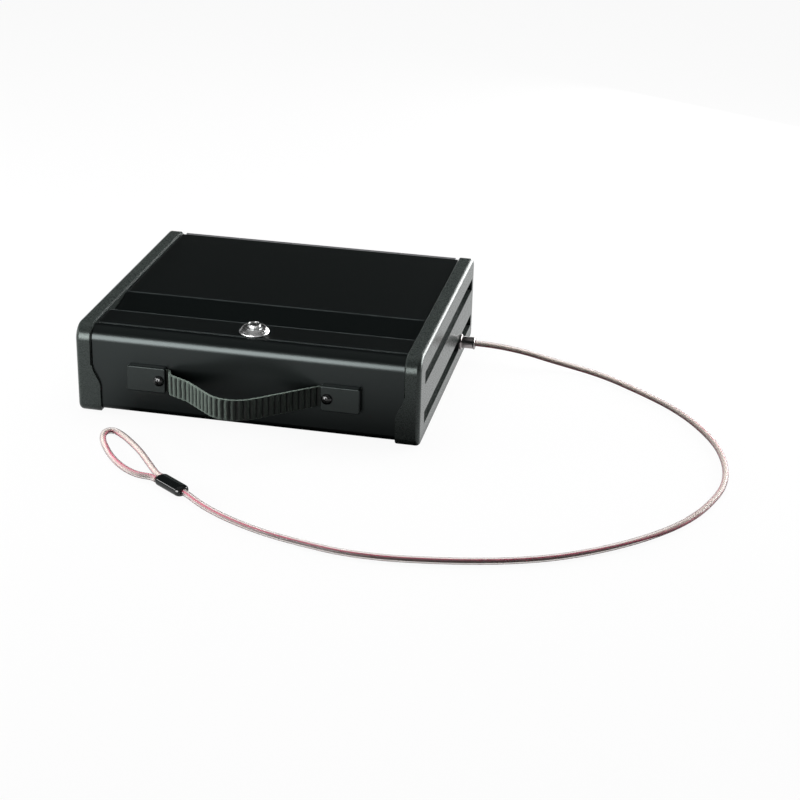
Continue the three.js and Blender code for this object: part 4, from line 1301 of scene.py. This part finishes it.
def make_plug():
    """The turning cylinder with its keyway, and the square tail that carries the cam."""
    low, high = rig.box("lock_plug")
    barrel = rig.box("lock_housing")[0].z
    profile = [
        (0, barrel),
        (PLUG_RADIUS, barrel),
        (PLUG_RADIUS, high.z - PLUG_EDGE),
        (PLUG_RADIUS - PLUG_EDGE, high.z),
        (0, high.z),
    ]
    plug = lathe("plug", "z", (0, LOCK_Y), profile, 48)
    square = block(
        "tail",
        (-TAIL_HALF, LOCK_Y - TAIL_HALF, low.z),
        (TAIL_HALF, LOCK_Y + TAIL_HALF, barrel + MM),
    )
    join(plug, "UNION", square)
    keyway = block(
        "keyway",
        (-KEYWAY_WIDTH / 2, LOCK_Y - KEYWAY_LENGTH / 2, high.z - KEYWAY_DEPTH),
        (KEYWAY_WIDTH / 2, LOCK_Y + KEYWAY_LENGTH / 2, high.z + MM),
    )
    join(plug, "DIFFERENCE", keyway)
    softened(plug, PLUG_SOFTENING, 2)
    dressed(plug, CHROME, "lock", "lock_chrome", "lock_plug", angle=40)


make_lock()
make_plug()


# Foam mat


def make_foam():
    """A soft slab with a slightly uneven top and drawn-down edges."""
    low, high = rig.box("foam_mat")
    size = high - low
    columns, rows = 96, 84
    vertices, faces = [], []
    for layer in (0, 1):
        for j in range(rows + 1):
            for i in range(columns + 1):
                x, y = low.x + size.x * i / columns, low.y + size.y * j / rows
                edge = min(x - low.x, high.x - x, y - low.y, high.y - y)
                fall = MAT_FALL * (1 - smooth_step(edge, 0, MAT_MARGIN))
                wave = MAT_WAVE * noise.noise(Vector((x, y, 0)) * MAT_WAVES_PER_METRE)
                z = high.z - MAT_SINK + wave - fall if layer else low.z
                vertices.append((x, y, z))
    row, layer = columns + 1, (columns + 1) * (rows + 1)
    for j in range(rows):
        for i in range(columns):
            a = j * row + i
            faces.append((a, a + row, a + row + 1, a + 1))
            faces.append((layer + a, layer + a + 1, layer + a + row + 1, layer + a + row))
    rim = [*range(columns)]
    rim += [columns + j * row for j in range(rows)]
    rim += [rows * row + columns - i for i in range(columns)]
    rim += [(rows - j) * row for j in range(rows)]
    for a, b in zip(rim, rim[1:] + rim[:1]):
        faces.append((a, b, layer + b, layer + a))
    piece = make("mat", vertices, faces)
    dressed(piece, FOAM, "case", "foam", "foam_mat", angle=50, weighted=False)
    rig.padded(piece, fill=0.9)


make_foam()


# Nodes of the frame that stay, each with its own finish

KEPT = {
    "body_paint": PAINT,
    "steel": STEEL,
    "wafer_brass": BRASS,
}
for subpart in frame["record"]["subparts"]:
    finish = KEPT.get(subpart["material_slot"])
    node = frame["nodes"][subpart["node"]]
    if finish and not node.hide_render:
        node.data.materials.clear()
        node.data.materials.append(finish)


# Floor, lamps and world


FLOOR_HALF = 12.0
FLOOR_LEVEL = -0.2 * MM
FLOOR_GLOW = 0.94  # share of its own light, the rest is a matt white that keeps the shadow


def make_floor():
    """White to the camera. In a mirror it is white beside, behind and well in front of the safe, with painted shade
    close in front of it.
    """
    n = Nodes("floor")
    path = n.add("ShaderNodeLightPath").outputs
    camera = path["Is Camera Ray"]
    in_mirror = n.math("MAXIMUM", path["Is Glossy Ray"], path["Is Transmission Ray"])
    seen = n.math("MAXIMUM", camera, in_mirror)
    at = n.axes()
    # Painted shade: in a mirror the floor is dim close in front of the safe, grows white from 2 to 12 cm in front of
    # it, and is painted a fifth darker from left to right across the safe
    ahead = n.range(at["Y"], FRONT - 20 * MM, FRONT - 120 * MM)
    across = n.range(at["X"], -HALF, HALF, 1.0, 0.8)
    right = n.range(at["X"], HALF - 1 * MM, HALF + 3 * MM)
    left = n.range(at["X"], 40 * MM - HALF, -HALF)
    behind = n.range(at["Y"], BACK, BACK + 10 * MM)
    around = n.math("MAXIMUM", n.math("MAXIMUM", right, left), behind)
    mirrored = n.math("MAXIMUM", n.math("MULTIPLY", ahead, across), around)
    matt = n.add("ShaderNodeBsdfDiffuse", {"Color": n.mix(camera, grey(0.06), grey(0.60))})
    white = n.add("ShaderNodeEmission", {
        "Color": grey(1.0),
        "Strength": n.math("MAXIMUM", camera, mirrored),
    })
    n.finish(n.blend(n.math("MULTIPLY", seen, FLOOR_GLOW), matt, white))
    plane = rectangle(-FLOOR_HALF, FLOOR_HALF, -FLOOR_HALF, FLOOR_HALF)
    floor = make("floor", [(x, y, FLOOR_LEVEL) for x, y in plane], [(0, 1, 2, 3)])
    floor.data.materials.append(n.material)
    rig.stage(floor)


SKY = ((0.02, 0.80), (0.15, 0.032), (0.70, 0.032), (0.90, 0.32))  # brightness in a mirror, by height
SKY_LIGHT = 0.016  # brightness of the light that it casts


def make_world():
    """White to the camera, SKY in a mirror, and dim to all else."""
    world = bpy.data.worlds.new("studio")
    bpy.context.scene.world = world
    world.use_nodes = True
    tree = world.node_tree
    tree.nodes.clear()

    def add(kind, inputs=None, **settings):
        node = tree.nodes.new(kind)
        for key, value in settings.items():
            setattr(node, key, value)
        for key, value in (inputs or {}).items():
            if isinstance(value, bpy.types.NodeSocket):
                tree.links.new(value, node.inputs[key])
            else:
                node.inputs[key].default_value = value
        return node

    path = add("ShaderNodeLightPath").outputs
    toward = add("ShaderNodeTexCoord").outputs["Generated"]
    split = add("ShaderNodeSeparateXYZ", {0: toward})
    sky = add("ShaderNodeValToRGB", {0: split.outputs["Z"]})
    ramp = sky.color_ramp.elements
    for place, shade in SKY:
        element = ramp.new(place)
        element.color = grey(shade)
    ramp.remove(ramp[0])
    ramp.remove(ramp[len(ramp) - 1])
    mirrored = add("ShaderNodeMath", {
        0: path["Is Glossy Ray"],
        1: path["Is Transmission Ray"],
    }, operation="MAXIMUM")
    unseen = add("ShaderNodeMix", {
        0: mirrored.outputs[0],
        2: SKY_LIGHT,
        3: sky.outputs[0],
    }, data_type="FLOAT")
    strength = add("ShaderNodeMix", {
        0: path["Is Camera Ray"],
        2: unseen.outputs[0],
        3: 1.0,
    }, data_type="FLOAT")
    background = add("ShaderNodeBackground", {"Color": grey(1.0), "Strength": strength.outputs[0]})
    add("ShaderNodeOutputWorld", {0: background.outputs[0]})


def lamp(name, place, width, height, radiance, diffuse=True, glossy=True):
    """A soft box at a place, turned to the safe and left out of the picture."""
    data = bpy.data.lights.new(name, "AREA")
    data.shape = "RECTANGLE"
    data.size = width
    data.size_y = height
    data.energy = radiance * math.pi * width * height
    light = bpy.data.objects.new(name, data)
    light.location = place
    toward = light.location - Vector((0, 0, LID_TOP / 2))
    light.rotation_mode = "QUATERNION"
    light.rotation_quaternion = toward.to_track_quat("Z", "Y")
    light.visible_camera = False
    light.visible_diffuse = diffuse
    light.visible_glossy = glossy
    bpy.context.scene.collection.objects.link(light)


make_floor()
make_world()
# Each lamp's place, width, height and radiance
lamp("key", (-0.18, -0.56, 0.15), 0.48, 0.29, 13.0, diffuse=False)
lamp("left", (-0.95, -0.20, 0.20), 0.50, 0.30, 44.0, glossy=False)
lamp("glint", (-0.62, -0.28, 0.26), 0.30, 0.10, 9.0, diffuse=False)
lamp("side", (0.75, 0.42, 0.22), 0.60, 0.40, 14.0)
lamp("back_right", (0.40, 0.80, 0.15), 0.54, 0.26, 9.0)
lamp("front_right", (0.75, -0.75, 0.55), 0.20, 0.20, 2.0)
lamp("above", (0.0, 0.25, 1.0), 1.10, 0.90, 4.5, glossy=False)
bpy.context.scene.view_settings.view_transform = "Standard"

visual_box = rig.bounds()
with open("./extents.json", "w") as file:
    json.dump({
        "cad": [list(corner) for corner in cad_box],
        "visual": [list(corner) for corner in visual_box],
    }, file)
